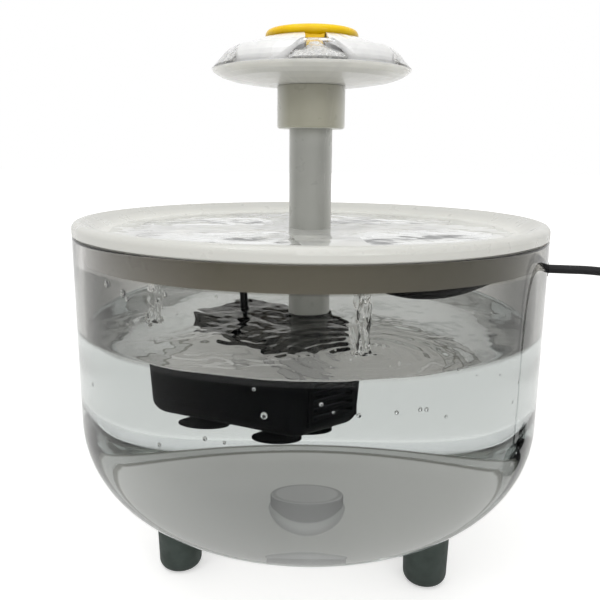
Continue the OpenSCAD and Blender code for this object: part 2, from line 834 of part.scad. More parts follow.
// Plate with the eye that feeds the impeller, and a three-arm spider for the front bush
module volute_cover() {
    eye_r = 5.8;
    hub_r = 4;
    color([0.1, 0.1, 0.1])
    in_pump() difference() {
        union() {
            difference() {
                along_x(volute_x, chamber_r - snug, volute_t);
                along_x(volute_x - 1, eye_r, volute_t + 2);
            }
            along_x(volute_x, hub_r, bush_len);
            translate([volute_x, 0, axis_z]) for (a = [0, 120, 240]) rotate([a, 0, 0])
                translate([0, -0.7, 0]) cube([volute_t, 1.4, eye_r + 1]);
        }
        along_x(volute_x - 1, shaft_r + 1.3, bush_len + 2, 48);
    }
}

module front_bush() {
    color([0.15, 0.15, 0.15])
    in_pump() difference() {
        along_x(volute_x, shaft_r + 1.3, bush_len, 48);
        along_x(volute_x - 1, shaft_r + shaft_gap, bush_len + 2, 48);
    }
}

module intake_sponge() {
    sponge_x = volute_x + bush_len + 0.1;
    color([0.1, 0.1, 0.1])
    in_pump() along_x(sponge_x, chamber_r - gap, cover_x - snug - sponge_x);
}

// Impeller ---------------------------------------------------------------------------------

module impeller() {
    hub_r = 3.2;
    back_x = chamber_x0 + 0.6;
    back_t = 1;
    blade_t = 1.1;
    blade_w = volute_x - 0.5 - back_x;
    color([0.85, 0.87, 0.9])
    in_pump() difference() {
        union() {
            along_x(back_x, impeller_r, back_t);
            along_x(split_x, rotor_r - 2.4, back_x - split_x + 0.5);
            along_x(back_x, hub_r, blade_w);
            translate([back_x, 0, axis_z]) for (i = [0 : blades - 1]) rotate([i * 360 / blades, 0, 0])
                translate([0, -blade_t / 2, 0]) cube([blade_w, blade_t, impeller_r - 0.1]);
        }
        along_x(split_x - 1, shaft_r + shaft_gap, pump_len, 48);
    }
}

module rotor_magnet() {
    color([0.2, 0.2, 0.21])
    in_pump() difference() {
        along_x(well_x0 + 0.4, rotor_r, split_x - well_x0 - 0.4);
        along_x(well_x0 - 1, shaft_r + shaft_gap, pump_len, 48);
    }
}

// Lead -------------------------------------------------------------------------------------

module lead_lower() {
    color([0.04, 0.04, 0.04])
    swept_tube(lower_route, lead_r, lead_sides, [1, 0, 0]);
}

module lead_upper() {
    color([0.04, 0.04, 0.04])
    swept_tube(upper_route, lead_r, lead_sides, [1, 0, 0]);
}

module usb_lead() {
    color([0.04, 0.04, 0.04])
    swept_tube(outer_route, lead_r, lead_sides, [0, 0, 1]);
}

module lead_coil() {
    color([0.04, 0.04, 0.04])
    translate([coil_at[0], coil_at[1], coil_rise]) rotate_extrude()
        translate([coil_in, 0]) square([coil_out - coil_in, coil_h]);
}

module plug_tail() {
    color([0.04, 0.04, 0.04])
    swept_tube(tail_route, lead_r, lead_sides, [0, 0, 1]);
}

module lead_tie() {
    tie_t = 0.8;
    tie_w = 5;
    color([0.1, 0.1, 0.1])
    translate([coil_at[0], coil_at[1], 0]) rotate(180) difference() {
        translate([coil_in - tie_t, -tie_w / 2, 0])
            cube([coil_out - coil_in + 2 * tie_t, tie_w, coil_h + coil_rise + tie_t]);
        translate([0, 0, coil_rise]) rotate_extrude()
            translate([coil_in - 0.1, 0]) square([coil_out - coil_in + 0.2, coil_h + 0.1]);
    }
}

module plug_body() {
    color([0.04, 0.04, 0.04])
    translate(plug_at) {
        rotate([-90, 0, 0]) difference() {
            cylinder(r1 = lead_r + 0.5, r2 = lead_r + 1.9, h = relief_len, $fn = 48);
            for (i = [0 : 2]) translate([-5, -5, 2 + i * 3]) difference() {
                cube([10, 10, 1.2]);
                translate([5, 5, -1]) cylinder(r = lead_r + 0.2, h = 4, $fn = 32);
            }
        }
        translate([-plug_w / 2 + 1.5, relief_len, -plug_h / 2]) cube([plug_w - 3, plug_len, plug_h]);
        translate([-plug_w / 2, relief_len, -plug_h / 2 + 1.5]) cube([plug_w, plug_len, plug_h - 3]);
        for (sx = [-1, 1], sz = [-1, 1])
            translate([sx * (plug_w / 2 - 1.5), relief_len, sz * (plug_h / 2 - 1.5)])
                rotate([-90, 0, 0]) cylinder(r = 1.5, h = plug_len, $fn = 32);
    }
}

module plug_shell() {
    color([0.75, 0.76, 0.78])
    translate([plug_at[0], plug_at[1] + relief_len + plug_len, plug_at[2]]) difference() {
        translate([-shell_w / 2, 0, -shell_h / 2]) cube([shell_w, shell_len, shell_h]);
        translate([-shell_w / 2 + shell_t, shell_t, -shell_h / 2 + shell_t])
            cube([shell_w - 2 * shell_t, shell_len, shell_h - 2 * shell_t]);
        for (sx = [-1, 1]) translate([sx * 2.8 - 1, 4.4, -shell_h]) cube([2, 2, 2 * shell_h]);
    }
}

module plug_insert() {
    insert_h = 1.6;
    color([0.92, 0.92, 0.92])
    translate([plug_at[0], plug_at[1] + relief_len + plug_len + shell_t, plug_at[2]])
        translate([-shell_w / 2 + shell_t + snug, 0, -shell_h / 2 + shell_t])
            cube([shell_w - 2 * shell_t - 2 * snug, shell_len - shell_t - 0.4, insert_h]);
}

tank_bowl();
foot_front_left();
foot_front_right();
foot_rear();
cable_grommet();
drinking_tray();
riser_grommet();
lead_clip();
riser_tube();
flower_collar();
flower_dish();
dish_retainer();
petal_cap();
flower_nozzle();
pump_housing();
pump_base();
stator_core();
stator_coil();
driver_board();
potting_resin();
rear_bush();
motor_shaft();
cable_gland();
suction_cup_1();
suction_cup_2();
suction_cup_3();
suction_cup_4();
intake_cover();
volute_cover();
front_bush();
intake_sponge();
impeller();
rotor_magnet();
lead_lower();
lead_upper();
usb_lead();
lead_coil();
plug_tail();
lead_tie();
plug_body();
plug_shell();
plug_insert();
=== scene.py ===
"""Pet water fountain: finishes, water and soft parts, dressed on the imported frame.

Sizes are millimetres where nothing else is said. Meshes are turned into metres when made.
"""

from __future__ import annotations

import logging
import math
import sys
from dataclasses import dataclass
from enum import Enum
from typing import Callable, Iterable, Sequence

import bmesh
import bpy
import numpy as np
from mathutils import Matrix, Vector

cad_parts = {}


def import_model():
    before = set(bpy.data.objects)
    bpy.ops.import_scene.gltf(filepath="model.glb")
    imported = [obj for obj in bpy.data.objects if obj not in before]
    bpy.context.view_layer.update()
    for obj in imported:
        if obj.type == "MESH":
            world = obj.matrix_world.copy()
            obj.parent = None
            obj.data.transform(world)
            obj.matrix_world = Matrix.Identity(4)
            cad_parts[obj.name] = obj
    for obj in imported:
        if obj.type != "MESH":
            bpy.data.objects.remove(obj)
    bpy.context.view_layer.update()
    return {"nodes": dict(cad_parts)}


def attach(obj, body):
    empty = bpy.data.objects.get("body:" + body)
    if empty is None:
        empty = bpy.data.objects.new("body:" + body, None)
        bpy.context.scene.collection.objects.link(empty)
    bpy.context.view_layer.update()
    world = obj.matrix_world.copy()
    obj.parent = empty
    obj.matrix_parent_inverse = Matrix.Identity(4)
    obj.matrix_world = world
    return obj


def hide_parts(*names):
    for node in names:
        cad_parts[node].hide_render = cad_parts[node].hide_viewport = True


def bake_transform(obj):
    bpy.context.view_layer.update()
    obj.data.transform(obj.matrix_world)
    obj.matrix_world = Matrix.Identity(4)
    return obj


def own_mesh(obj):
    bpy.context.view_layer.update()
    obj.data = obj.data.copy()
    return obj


log = logging.getLogger("fountain")

MM = 0.001
TURN = 2 * math.pi
RIM_Z = 140.0
FILM_Z = 141.0
WATER_Z = 104.3
WATER_INDEX = 1.333
WATER_CREASE = 80.0

Point = tuple[float, float, float]
Pair = tuple[float, float]
Colour = tuple[float, float, float]
Face = tuple[int, ...]
Piece = bpy.types.Object
Material = bpy.types.Material
Socket = bpy.types.NodeSocket
Source = Colour | Socket | bpy.types.Node | float
Lift = Callable[[np.ndarray, np.ndarray, np.ndarray], np.ndarray]


class Body(str, Enum):
    """The moving bodies that new pieces ride on."""

    TANK = "tank"
    TRAY = "tray"
    RISER = "riser"
    FLOWER = "flower"


class Join(str, Enum):
    """Ways in which one piece changes another."""

    CUT = "DIFFERENCE"
    ADD = "UNION"


# --------------------------------------------------------------------------------------
# Meshes
# --------------------------------------------------------------------------------------


def link_object(name: str, data: bpy.types.ID) -> Piece:
    """Put new data in the scene as an object at the origin.

    Args:
        name: Name of the object.
        data: Mesh, camera or light data.

    Returns:
        The new object.
    """
    obj = bpy.data.objects.new(name, data)
    bpy.context.scene.collection.objects.link(obj)
    return obj


def raw_mesh(name: str, verts: np.ndarray, edges: list[Face], faces: list[Face]) -> Piece:
    """Make an object whose mesh is taken as it comes.

    Args:
        name: Name of the object.
        verts: Array of vertex by 3.
        edges: Vertex indices of each edge that no face has.
        faces: Vertex indices of each face.

    Returns:
        The new object.
    """
    mesh = bpy.data.meshes.new(name)
    mesh.from_pydata((np.asarray(verts, float) * MM).tolist(), edges, faces)
    return link_object(name, mesh)


def shade(mesh: bpy.types.Mesh, crease: float) -> None:
    """Shade a mesh smooth, with sharp edges past an angle in degrees."""
    mesh.polygons.foreach_set("use_smooth", [True] * len(mesh.polygons))
    mesh.set_sharp_from_angle(angle=math.radians(crease))


def make_mesh(name: str, verts: np.ndarray, faces: list[Face], crease: float) -> Piece:
    """Make a closed piece.

    Args:
        name: Name of the piece.
        verts: Array of vertex by 3.
        faces: Vertex indices of each face.
        crease: Angle in degrees past which an edge stays sharp.

    Returns:
        The piece, with its faces outwards.
    """
    piece = raw_mesh(name, verts, [], faces)
    work = bmesh.new()
    work.from_mesh(piece.data)
    bmesh.ops.remove_doubles(work, verts=work.verts, dist=2e-6)
    bmesh.ops.recalc_face_normals(work, faces=work.faces)
    work.to_mesh(piece.data)
    work.free()
    shade(piece.data, crease)
    return piece


def circle(sides: int) -> np.ndarray:
    """Return the angles of points spread evenly round a circle."""
    return np.arange(sides) * TURN / sides


def rounded(corners: Sequence[Point], arc_step: float = 4.0) -> list[Pair]:
    """Round the corners of a polyline.

    Args:
        corners: Radius, height and corner radius of each corner.
        arc_step: Degrees of arc per point.

    Returns:
        The points of the rounded polyline.
    """
    out: list[Pair] = []
    for i, (r, z, rad) in enumerate(corners):
        if rad <= 0 or i in (0, len(corners) - 1):
            out.append((r, z))
            continue
        p, a, b = (np.array(corners[k][:2], float) for k in (i, i - 1, i + 1))
        u, v = a - p, b - p
        lu, lv = np.linalg.norm(u), np.linalg.norm(v)
        u, v = u / lu, v / lv
        half = math.acos(float(np.clip(u @ v, -1, 1))) / 2
        room = [
            length * (0.495 if corners[k][2] > 0 else 1.0)
            for length, k in ((lu, i - 1), (lv, i + 1))
        ]
        reach = min(rad / math.tan(half), *room)
        rad = reach * math.tan(half)
        centre = p + (u + v) / np.linalg.norm(u + v) * rad / math.sin(half)
        start, end = p + u * reach - centre, p + v * reach - centre
        turn = math.atan2(start[0] * end[1] - start[1] * end[0], start @ end)
        steps = max(2, int(abs(math.degrees(turn)) / arc_step) + 1)
        for t in np.arange(steps + 1) * turn / steps:
            c, s = math.cos(t), math.sin(t)
            spot = (c * start[0] - s * start[1], s * start[0] + c * start[1])
            out.append((centre[0] + spot[0], centre[1] + spot[1]))
    return out


def smooth_line(points: Sequence[Sequence[float]], step: float) -> np.ndarray:
    """Pass one smooth curve through points.

    Args:
        points: Points of any dimension.
        step: Distance between the points of the result, roughly.

    Returns:
        The points of a centripetal curve through the given ones.
    """
    pts = np.asarray(points, float)
    ends = np.vstack([2 * pts[0] - pts[1], pts, 2 * pts[-1] - pts[-2]])
    out: list[np.ndarray] = []
    for p0, p1, p2, p3 in zip(ends, ends[1:], ends[2:], ends[3:]):
        span = np.linalg.norm(p2 - p1)
        t1 = np.linalg.norm(p1 - p0) ** 0.5
        t2 = t1 + span**0.5
        t3 = t2 + np.linalg.norm(p3 - p2) ** 0.5
        for t in np.linspace(t1, t2, max(2, int(span / step) + 1))[:-1]:
            a1 = (t1 - t) / t1 * p0 + t / t1 * p1
            a2 = (t2 - t) / (t2 - t1) * p1 + (t - t1) / (t2 - t1) * p2
            a3 = (t3 - t) / (t3 - t2) * p2 + (t - t2) / (t3 - t2) * p3
            b1 = (t2 - t) / t2 * a1 + t / t2 * a2
            b2 = (t3 - t) / (t3 - t1) * a2 + (t - t1) / (t3 - t1) * a3
            out.append((t2 - t) / (t2 - t1) * b1 + (t - t1) / (t2 - t1) * b2)
    return np.array([*out, pts[-1]])


def band(low: int, high: int, sides: int) -> list[Face]:
    """Return the faces between two rings, given the first vertex of each."""
    pairs = [(k, (k + 1) % sides) for k in range(sides)]
    return [(low + k, low + m, high + m, high + k) for k, m in pairs]


def turned(
    name: str,
    profile: Sequence[Pair],
    segments: int,
    crease: float = WATER_CREASE,
    closed: bool = True,
    lift: Lift | None = None,
) -> Piece:
    """Turn a cross section round the Z axis.

    Args:
        name: Name of the piece.
        profile: Radius and height of each point.
        segments: Number of steps round the axis.
        crease: Angle in degrees past which an edge stays sharp.
        closed: True if the last point joins the first; False if both are on the axis.
        lift: Gives a change of height for arrays of radius, angle and height.

    Returns:
        The piece.
    """
    points = np.array(profile, float)
    rings, tips = (points, points[:0]) if closed else (points[1:-1], points[[0, -1]])
    count, total = len(rings), len(rings) * segments
    r, z = (np.append(np.repeat(rings[:, k], segments), tips[:, k]) for k in (0, 1))
    a = np.append(np.tile(circle(segments), count), np.zeros(len(tips)))
    if lift is not None:
        z = z + lift(r, a, z)
    faces: list[Face] = []
    for i in range(count if closed else count - 1):
        faces += band(i * segments, (i + 1) % count * segments, segments)
    for tip, ring in ((total, 0), (total + 1, total - segments)) if not closed else ():
        faces += [(tip, ring + k, ring + (k + 1) % segments) for k in range(segments)]
    return make_mesh(name, np.column_stack([r * np.cos(a), r * np.sin(a), z]), faces, crease)


def skinned(name: str, rings: np.ndarray, crease: float = WATER_CREASE) -> Piece:
    """Skin rings of points into one closed piece with a cap at each end.

    Args:
        name: Name of the piece.
        rings: Array of ring by point by 3.
        crease: Angle in degrees past which an edge stays sharp.

    Returns:
        The piece.
    """
    n, m, _ = rings.shape
    faces = [face for i in range(n - 1) for face in band(i * m, (i + 1) * m, m)]
    faces += [tuple(range(m)), tuple(range((n - 1) * m, n * m))]
    return make_mesh(name, rings.reshape(-1, 3), faces, crease)


def balls(name: str, spots: Iterable[tuple[Vector, float, Matrix]], detail: int) -> Piece:
    """Make loose drops or bubbles as one piece.

    Args:
        name: Name of the piece.
        spots: Middle, radius and stretch of each ball.
        detail: Subdivisions of a ball.

    Returns:
        The piece.
    """
    verts: list[Point] = []
    faces: list[Face] = []
    for middle, size, stretch in spots:
        work = bmesh.new()
        bmesh.ops.create_icosphere(work, subdivisions=detail, radius=size)
        start = len(verts)
        verts += [tuple(middle + stretch @ v.co) for v in work.verts]
        faces += [tuple(start + v.index for v in f.verts) for f in work.faces]
        work.free()
    return make_mesh(name, np.array(verts), faces, WATER_CREASE)


def bake_modifiers(piece: Piece) -> None:
    """Turn a piece with modifiers into a plain mesh.

    Args:
        piece: The piece, whose modifiers are removed.
    """
    graph = bpy.context.evaluated_depsgraph_get()
    graph.update()
    mesh = bpy.data.meshes.new_from_object(
        piece.evaluated_get(graph), preserve_all_data_layers=True, depsgraph=graph
    )
    mesh.name = piece.name
    piece.modifiers.clear()
    piece.data = mesh


def combine(piece: Piece, tool: Piece, how: Join) -> None:
    """Change one piece by another, and delete the other.

    Args:
        piece: The piece that is changed.
        tool: The cutting or added piece.
        how: Whether it cuts or adds.
    """
    mod = piece.modifiers.new("cut", "BOOLEAN")
    mod.operation, mod.solver, mod.object = how.value, "EXACT", tool
    bake_modifiers(piece)
    bpy.data.objects.remove(tool, do_unlink=True)


def put_on(piece: Piece, mat: Material) -> Piece:
    """Give a piece one material, and return the piece."""
    piece.data.materials.clear()
    piece.data.materials.append(mat)
    return piece


def report(piece: Piece, words: str) -> None:
    """Log a finished piece."""
    log.info("%s: %d faces, %s", piece.name, len(piece.data.polygons), words)


# --------------------------------------------------------------------------------------
# Node trees
# --------------------------------------------------------------------------------------


class Graph:
    """A node tree that is being built."""

    def __init__(self, tree: bpy.types.NodeTree) -> None:
        """Work on a tree."""
        self.tree = tree

    def node(
        self, kind: str, inputs: dict[str | int, Source] | None = None, **settings: object
    ) -> bpy.types.Node:
        """Add a node.

        Args:
            kind: Type of the node.
            inputs: A value, an output or a node, which stands for its first output, for
                each input. Colours are given without their alpha.
            **settings: Properties of the node.

        Returns:
            The node.
        """
        made = self.tree.nodes.new(kind)
        for key, value in settings.items():
            setattr(made, key, value)
        for key, value in (inputs or {}).items():
            socket = made.inputs[key]
            if isinstance(value, bpy.types.Node):
                value = value.outputs[0]
            if isinstance(value, Socket):
                self.tree.links.new(value, socket)
            else:
                socket.default_value = (*value, 1.0) if socket.type == "RGBA" else value
        return made

    def calc(self, how: str, *values: Source) -> Socket:
        """Return the result of one operation of the Math node."""
        return self.node("ShaderNodeMath", dict(enumerate(values)), operation=how).outputs[0]

    def vector(self, how: str, *values: Source) -> bpy.types.Node:
        """Return a Vector Math node with its inputs."""
        return self.node("ShaderNodeVectorMath", dict(enumerate(values)), operation=how)


class ShapeTree(Graph):
    """A Geometry Nodes tree with named inputs, run as a modifier."""

    def __init__(self, name: str, **wanted: str) -> None:
        """Start a tree.

        Args:
            name: Name of the tree.
            **wanted: Socket kind of each named input.
        """
        super().__init__(bpy.data.node_groups.new(name, "GeometryNodeTree"))
        face = self.tree.interface
        face.new_socket("Geometry", in_out="OUTPUT", socket_type="NodeSocketGeometry")
        for label, kind in {"Geometry": "Geometry", **wanted}.items():
            face.new_socket(label, in_out="INPUT", socket_type=f"NodeSocket{kind}")
        self.given = self.node("NodeGroupInput").outputs

    def finish(self, source: Source) -> ShapeTree:
        """Close the tree with Realize Instances, smooth shading and Set Material.

        Args:
            source: The geometry that leaves the tree.

        Returns:
            The tree.
        """
        real = self.node("GeometryNodeRealizeInstances", {0: source})
        smooth = self.node("GeometryNodeSetShadeSmooth", {0: real})
        mat = self.given["Finish"]
        dress = self.node("GeometryNodeSetMaterial", {0: smooth, "Material": mat})
        self.node("NodeGroupOutput", {0: dress})
        return self

    def run(self, piece: Piece, **values: object) -> Piece:
        """Run the tree on a piece and turn the result into a plain mesh.

        Args:
            piece: The piece that carries the tree's starting geometry.
            **values: Value of each named input.

        Returns:
            The same piece with its new mesh.
        """
        mod = piece.modifiers.new(self.tree.name, "NODES")
        mod.node_group = self.tree
        for item in self.tree.interface.items_tree:
            if item.name in values:
                mod[item.identifier] = values[item.name]
        bake_modifiers(piece)
        return piece


def tube_tree() -> ShapeTree:
    """Return a tree that sweeps a round tube along a line of edges."""
    tree = ShapeTree("tube_along_path", Radius="Float", Sides="Int", Finish="Material")
    given = tree.given
    line = tree.node("GeometryNodeMeshToCurve", {0: given["Geometry"]})
    ring = tree.node(
        "GeometryNodeCurvePrimitiveCircle",
        {"Radius": given["Radius"], "Resolution": given["Sides"]},
        mode="RADIUS",
    )
    sweep = {"Curve": line, "Profile Curve": ring, "Fill Caps": True}
    return tree.finish(tree.node("GeometryNodeCurveToMesh", sweep))


def ring_tree() -> ShapeTree:
    """Return a tree that repeats a shape evenly round the Z axis."""
    tree = ShapeTree("repeat_round_axis", Count="Int", Start="Float", Finish="Material")
    given = tree.given
    share = tree.calc("DIVIDE", TURN, given["Count"])
    index = tree.node("GeometryNodeInputIndex")
    turn = tree.calc("MULTIPLY_ADD", index, share, given["Start"])
    spin = tree.node("ShaderNodeCombineXYZ", {"Z": turn})
    still = {"Count": given["Count"], "Offset": (0.0, 0.0, 0.0)}
    line = tree.node("GeometryNodeMeshLine", still)
    places = {"Points": line, "Instance": given["Geometry"], "Rotation": spin}
    return tree.finish(tree.node("GeometryNodeInstanceOnPoints", places))


def bead_tree() -> ShapeTree:
    """Return a tree that scatters flattened beads of water over a surface."""
    sizes = {"Density": "Float", "Least": "Float", "Most": "Float"}
    tree = ShapeTree("beads_on_wall", **sizes, Seed="Int", Finish="Material")
    given = tree.given
    spread = tree.node(
        "GeometryNodeDistributePointsOnFaces",
        {"Mesh": given["Geometry"], "Density": given["Density"], "Seed": given["Seed"]},
        distribute_method="RANDOM",
    ).outputs
    size = tree.node(
        "FunctionNodeRandomValue",
        {2: given["Least"], 3: given["Most"], "Seed": given["Seed"]},
        data_type="FLOAT",
    )
    shape = {0: (1.0, 1.0, 0.62), "Scale": size.outputs[1]}
    flat = tree.node("ShaderNodeVectorMath", shape, operation="SCALE")
    ball = tree.node("GeometryNodeMeshIcoSphere", {"Radius": 1.0, "Subdivisions": 3})
    places = {
        "Points": spread["Points"], "Instance": ball, "Rotation": spread["Rotation"], "Scale": flat
    }  # fmt: skip
    return tree.finish(tree.node("GeometryNodeInstanceOnPoints", places))


# --------------------------------------------------------------------------------------
# Finishes
# --------------------------------------------------------------------------------------


class Shader(Graph):
    """The node tree of one material."""

    def __init__(self, name: str) -> None:
        """Start an empty material."""
        self.mat = bpy.data.materials.new(name)
        self.mat.use_nodes = True
        super().__init__(self.mat.node_tree)
        self.tree.nodes.clear()
        self.place = self.node("ShaderNodeTexCoord").outputs["Object"]

    def done(self, surface: Source) -> Material:
        """Close the tree with a shader and return the material."""
        self.node("ShaderNodeOutputMaterial", {"Surface": surface})
        return self.mat

    def noise(self, scale: float, detail: float = 3.0, stretch: Point = (1.0, 1.0, 1.0)) -> Socket:
        """Return a noise.

        Args:
            scale: Its patches per metre.
            detail: How many finer layers it has.
            stretch: Factor of the scale along each axis.

        Returns:
            The noise.
        """
        spot = self.node("ShaderNodeMapping", {"Vector": self.place, "Scale": stretch})
        look = {"Vector": spot, "Scale": scale, "Detail": detail, "Roughness": 0.55}
        return self.node("ShaderNodeTexNoise", look).outputs["Fac"]

    def spread(
        self, source: Socket, low: float, high: float, a: float = 0.0, b: float = 1.0
    ) -> Socket:
        """Map a value, held within both ranges.

        Args:
            source: The value.
            low: Start of the value's range.
            high: End of the value's range.
            a: Result at the start.
            b: Result at the end.

        Returns:
            The mapped value.
        """
        ranges = {"Value": source, "From Min": low, "From Max": high, "To Min": a, "To Max": b}
        return self.node("ShaderNodeMapRange", ranges, clamp=True).outputs[0]

    def ramp(
        self, length: Socket, low: float, high: float, a: float = 0.0, b: float = 1.0
    ) -> Socket:
        """Map a length in metres whose range is given in millimetres, as spread does."""
        return self.spread(length, low * MM, high * MM, a, b)

    def blend(self, factor: Socket, first: Source, second: Source) -> Socket:
        """Return a colour between two, by a factor."""
        sides = {0: factor, 6: first, 7: second}
        return self.node("ShaderNodeMix", sides, data_type="RGBA").outputs[2]

    def part(self, axis: str) -> Socket:
        """Return the place along one axis in metres."""
        return self.node("ShaderNodeSeparateXYZ", {0: self.place}).outputs[axis]

    def reach(self) -> Socket:
        """Return the distance from the upright axis in metres."""
        flat = self.vector("MULTIPLY", self.place, (1.0, 1.0, 0.0))
        return self.vector("LENGTH", flat).outputs["Value"]

    def facing(self, low: float, high: float) -> Socket:
        """Return how far a face is seen edge on, from low as 0 to high as 1."""
        return self.spread(
            self.node("ShaderNodeLayerWeight", {"Blend": 0.5}).outputs["Facing"], low, high
        )

    def streaks(self, count: float, length: float) -> Socket:
        """Return a noise that runs outwards from the upright axis.

        Args:
            count: Streaks per radian.
            length: Changes per metre along a streak.

        Returns:
            The noise.
        """
        turn = self.calc("ARCTAN2", self.part("Y"), self.part("X"))
        away = self.vector("LENGTH", self.place).outputs["Value"]
        spot = self.node("ShaderNodeCombineXYZ", {"X": turn, "Y": away})
        spacing = self.vector("MULTIPLY", spot, (count, length, 1.0))
        look = {"Vector": spacing, "Scale": 1.0, "Detail": 2.0}
        return self.node("ShaderNodeTexNoise", look).outputs["Fac"]

    def bump(self, source: Socket, depth: float) -> Socket:
        """Return a normal with bumps of a depth."""
        look = {"Height": source, "Strength": 1.0, "Distance": depth * MM}
        return self.node("ShaderNodeBump", look).outputs[0]

    def light_passes(self, surface: Source, share: float) -> Socket:
        """Let lamps through a clear surface unbent.

        Args:
            surface: The clear shader.
            share: Share of the light that passes.

        Returns:
            The mixed shader.
        """
        path = self.node("ShaderNodeLightPath").outputs
        either = self.calc("MAXIMUM", path["Is Shadow Ray"], path["Is Diffuse Ray"])
        through = self.node("ShaderNodeBsdfTransparent", {"Color": grey(share)})
        return self.node("ShaderNodeMixShader", {0: either, 1: surface, 2: through}).outputs[0]


def grey(value: float) -> Colour:
    """Return a plain grey."""
    return (value, value, value)


def srgb(*screen: int) -> Colour:
    """Return a colour written as it looks on a screen, in the scene's linear values."""
    shares = [value / 255 for value in screen]
    return tuple(v / 12.92 if v <= 0.04045 else ((v + 0.055) / 1.055) ** 2.4 for v in shares)


@dataclass(frozen=True)
class Moulded:
    """A moulded plastic, silicone or rubber finish.

    Attributes:
        slot: Name of the finish, the record's material slot where there is one.
        colour: Colour of the surface.
        varied: Colour of the places that differ.
        rough: Least and most roughness.
        patch: Patches per metre of the colour variation.
        grain: Grains per metre of the fine texture.
        depth: Depth of the fine texture.
        glow: Share of light that spreads under the surface.
        metallic: 1 for bare metal.
        mirror: Strength of what it mirrors; next to nothing under water.
    """

    slot: str
    colour: Colour
    varied: Colour
    rough: Pair = (0.3, 0.45)
    patch: float = 60.0
    grain: float = 2500.0
    depth: float = 0.01
    glow: float = 0.0
    metallic: float = 0.0
    mirror: float = 0.5

    def material(self) -> Material:
        """Build the material."""
        s = Shader(self.slot)
        patches = s.spread(s.noise(self.patch), 0.35, 0.65)
        look = {
            "Base Color": self.tinted(s, s.blend(patches, self.colour, self.varied)),
            "Metallic": self.metallic,
            "Roughness": s.spread(s.noise(self.patch * 3), 0.3, 0.7, *self.rough),
            "Specular IOR Level": self.mirror,
            "Subsurface Weight": self.glow,
            "Subsurface Scale": 0.004,
            "Subsurface Radius": (1.0, 0.9, 0.8),
            "Normal": s.bump(s.noise(self.grain, 2.0), self.depth),
        }
        return s.done(s.node("ShaderNodeBsdfPrincipled", look))

    def tinted(self, s: Shader, base: Socket) -> Socket:
        """Return the colour of the surface from the plastic's own."""
        return base


@dataclass(frozen=True)
class Milky(Moulded):
    """Milky plastic with a painted sheen: its colour turns paler where it is seen edge on.

    Attributes:
        edge: Colour of the painted sheen that it turns to.
    """

    edge: Colour = (0.8, 0.8, 0.78)

    def tinted(self, s: Shader, base: Socket) -> Socket:
        """Blend towards the pale edge, a painted sheen."""
        return s.blend(s.facing(0.25, 0.85), base, self.edge)


@dataclass(frozen=True)
class Basin(Moulded):
    """The tray's plastic, with painted dapples of light and shade under the water and painted shade
    on its rim and skirt.

    Attributes:
        painted_dapple: Colour of the painted dapples of light and shade.
        pool_r: Radii between which the dapples end.
        rim: Colour of the rim, painted shade.
        rim_r: Radii between which the rim starts.
        skirt: Colours of the skirt at the left, in the middle and at the right, painted shade.
        skirt_r: Radii between which the skirt starts.
        left_x: Places along X between which the left blends into the middle.
        right_x: Places along X between which the middle blends into the right.
        lip_z: Heights between which the skirt ends and the rim starts.
    """

    painted_dapple: Colour = (0.58, 0.58, 0.565)
    pool_r: Pair = (73.0, 79.0)
    rim: Colour = (0.64, 0.64, 0.605)
    rim_r: Pair = (84.0, 88.0)
    skirt: tuple[Colour, ...] = ((0.55, 0.55, 0.545), (0.32, 0.3, 0.25), (0.2, 0.2, 0.185))
    skirt_r: Pair = (85.0, 85.5)
    left_x: Pair = (-90.0, -20.0)
    right_x: Pair = (10.0, 85.0)
    lip_z: Pair = (139.2, 139.6)

    def tinted(self, s: Shader, base: Socket) -> Socket:
        """Paint shade on the rim and the skirt, and dapples of light and shade under the water.

        Args:
            s: The material's tree.
            base: The plastic's own colour.

        Returns:
            The colour.
        """
        reach, x, z = s.reach(), s.part("X"), s.part("Z")
        # Painted shade: the skirt is darkened, more towards the right.
        left, middle, right = self.skirt
        tone = s.blend(s.ramp(x, *self.left_x), left, middle)
        tone = s.blend(s.ramp(x, *self.right_x), tone, right)
        under = s.ramp(z, *self.lip_z, 1.0, 0.0)
        base = s.blend(s.calc("MULTIPLY", s.ramp(reach, *self.skirt_r), under), base, tone)
        # Painted shade: the rim is darkened.
        above = s.ramp(z, *self.lip_z)
        base = s.blend(s.calc("MULTIPLY", s.ramp(reach, *self.rim_r), above), base, self.rim)
        # Painted dapples of light and shade on the surface under the water.
        pool = s.ramp(reach, *self.pool_r, 1.0, 0.0)
        patch = s.spread(s.noise(26, 3.0, (1.0, 0.75, 1.0)), 0.47, 0.6)
        return s.blend(s.calc("MULTIPLY", pool, patch), base, self.painted_dapple)


@dataclass(frozen=True)
class Porous(Moulded):
    """Open foam.

    Attributes:
        pores: Pores per metre.
    """

    pores: float = 900.0

    def material(self) -> Material:
        """Build the material."""
        s = Shader(self.slot)
        cells = s.node("ShaderNodeTexVoronoi", {"Vector": s.place, "Scale": self.pores})
        deep = s.spread(cells.outputs["Distance"], 0.1, 0.6, 1.0, 0.0)
        look = {
            "Base Color": s.blend(deep, self.colour, self.varied),
            "Roughness": 0.95,
            "Normal": s.bump(deep, self.depth),
        }
        return s.done(s.node("ShaderNodeBsdfPrincipled", look))


@dataclass(frozen=True)
class Wound(Moulded):
    """Enamelled wire wound side by side round the Z axis of the pump.

    Attributes:
        pitch: Distance between the turns.
    """

    pitch: float = 0.45

    def material(self) -> Material:
        """Build the material."""
        s = Shader(self.slot)
        scale = 1.0 / (self.pitch * MM) / 6.3
        waves = {"Vector": s.place, "Scale": scale, "Distortion": 0.4, "Detail": 1.0}
        bands = s.node("ShaderNodeTexWave", waves, bands_direction="Z").outputs["Fac"]
        look = {
            "Base Color": s.blend(bands, self.varied, self.colour),
            "Metallic": 0.85,
            "Roughness": s.spread(bands, 0.0, 1.0, 0.5, 0.28),
            "Normal": s.bump(bands, 0.1),
        }
        return s.done(s.node("ShaderNodeBsdfPrincipled", look))


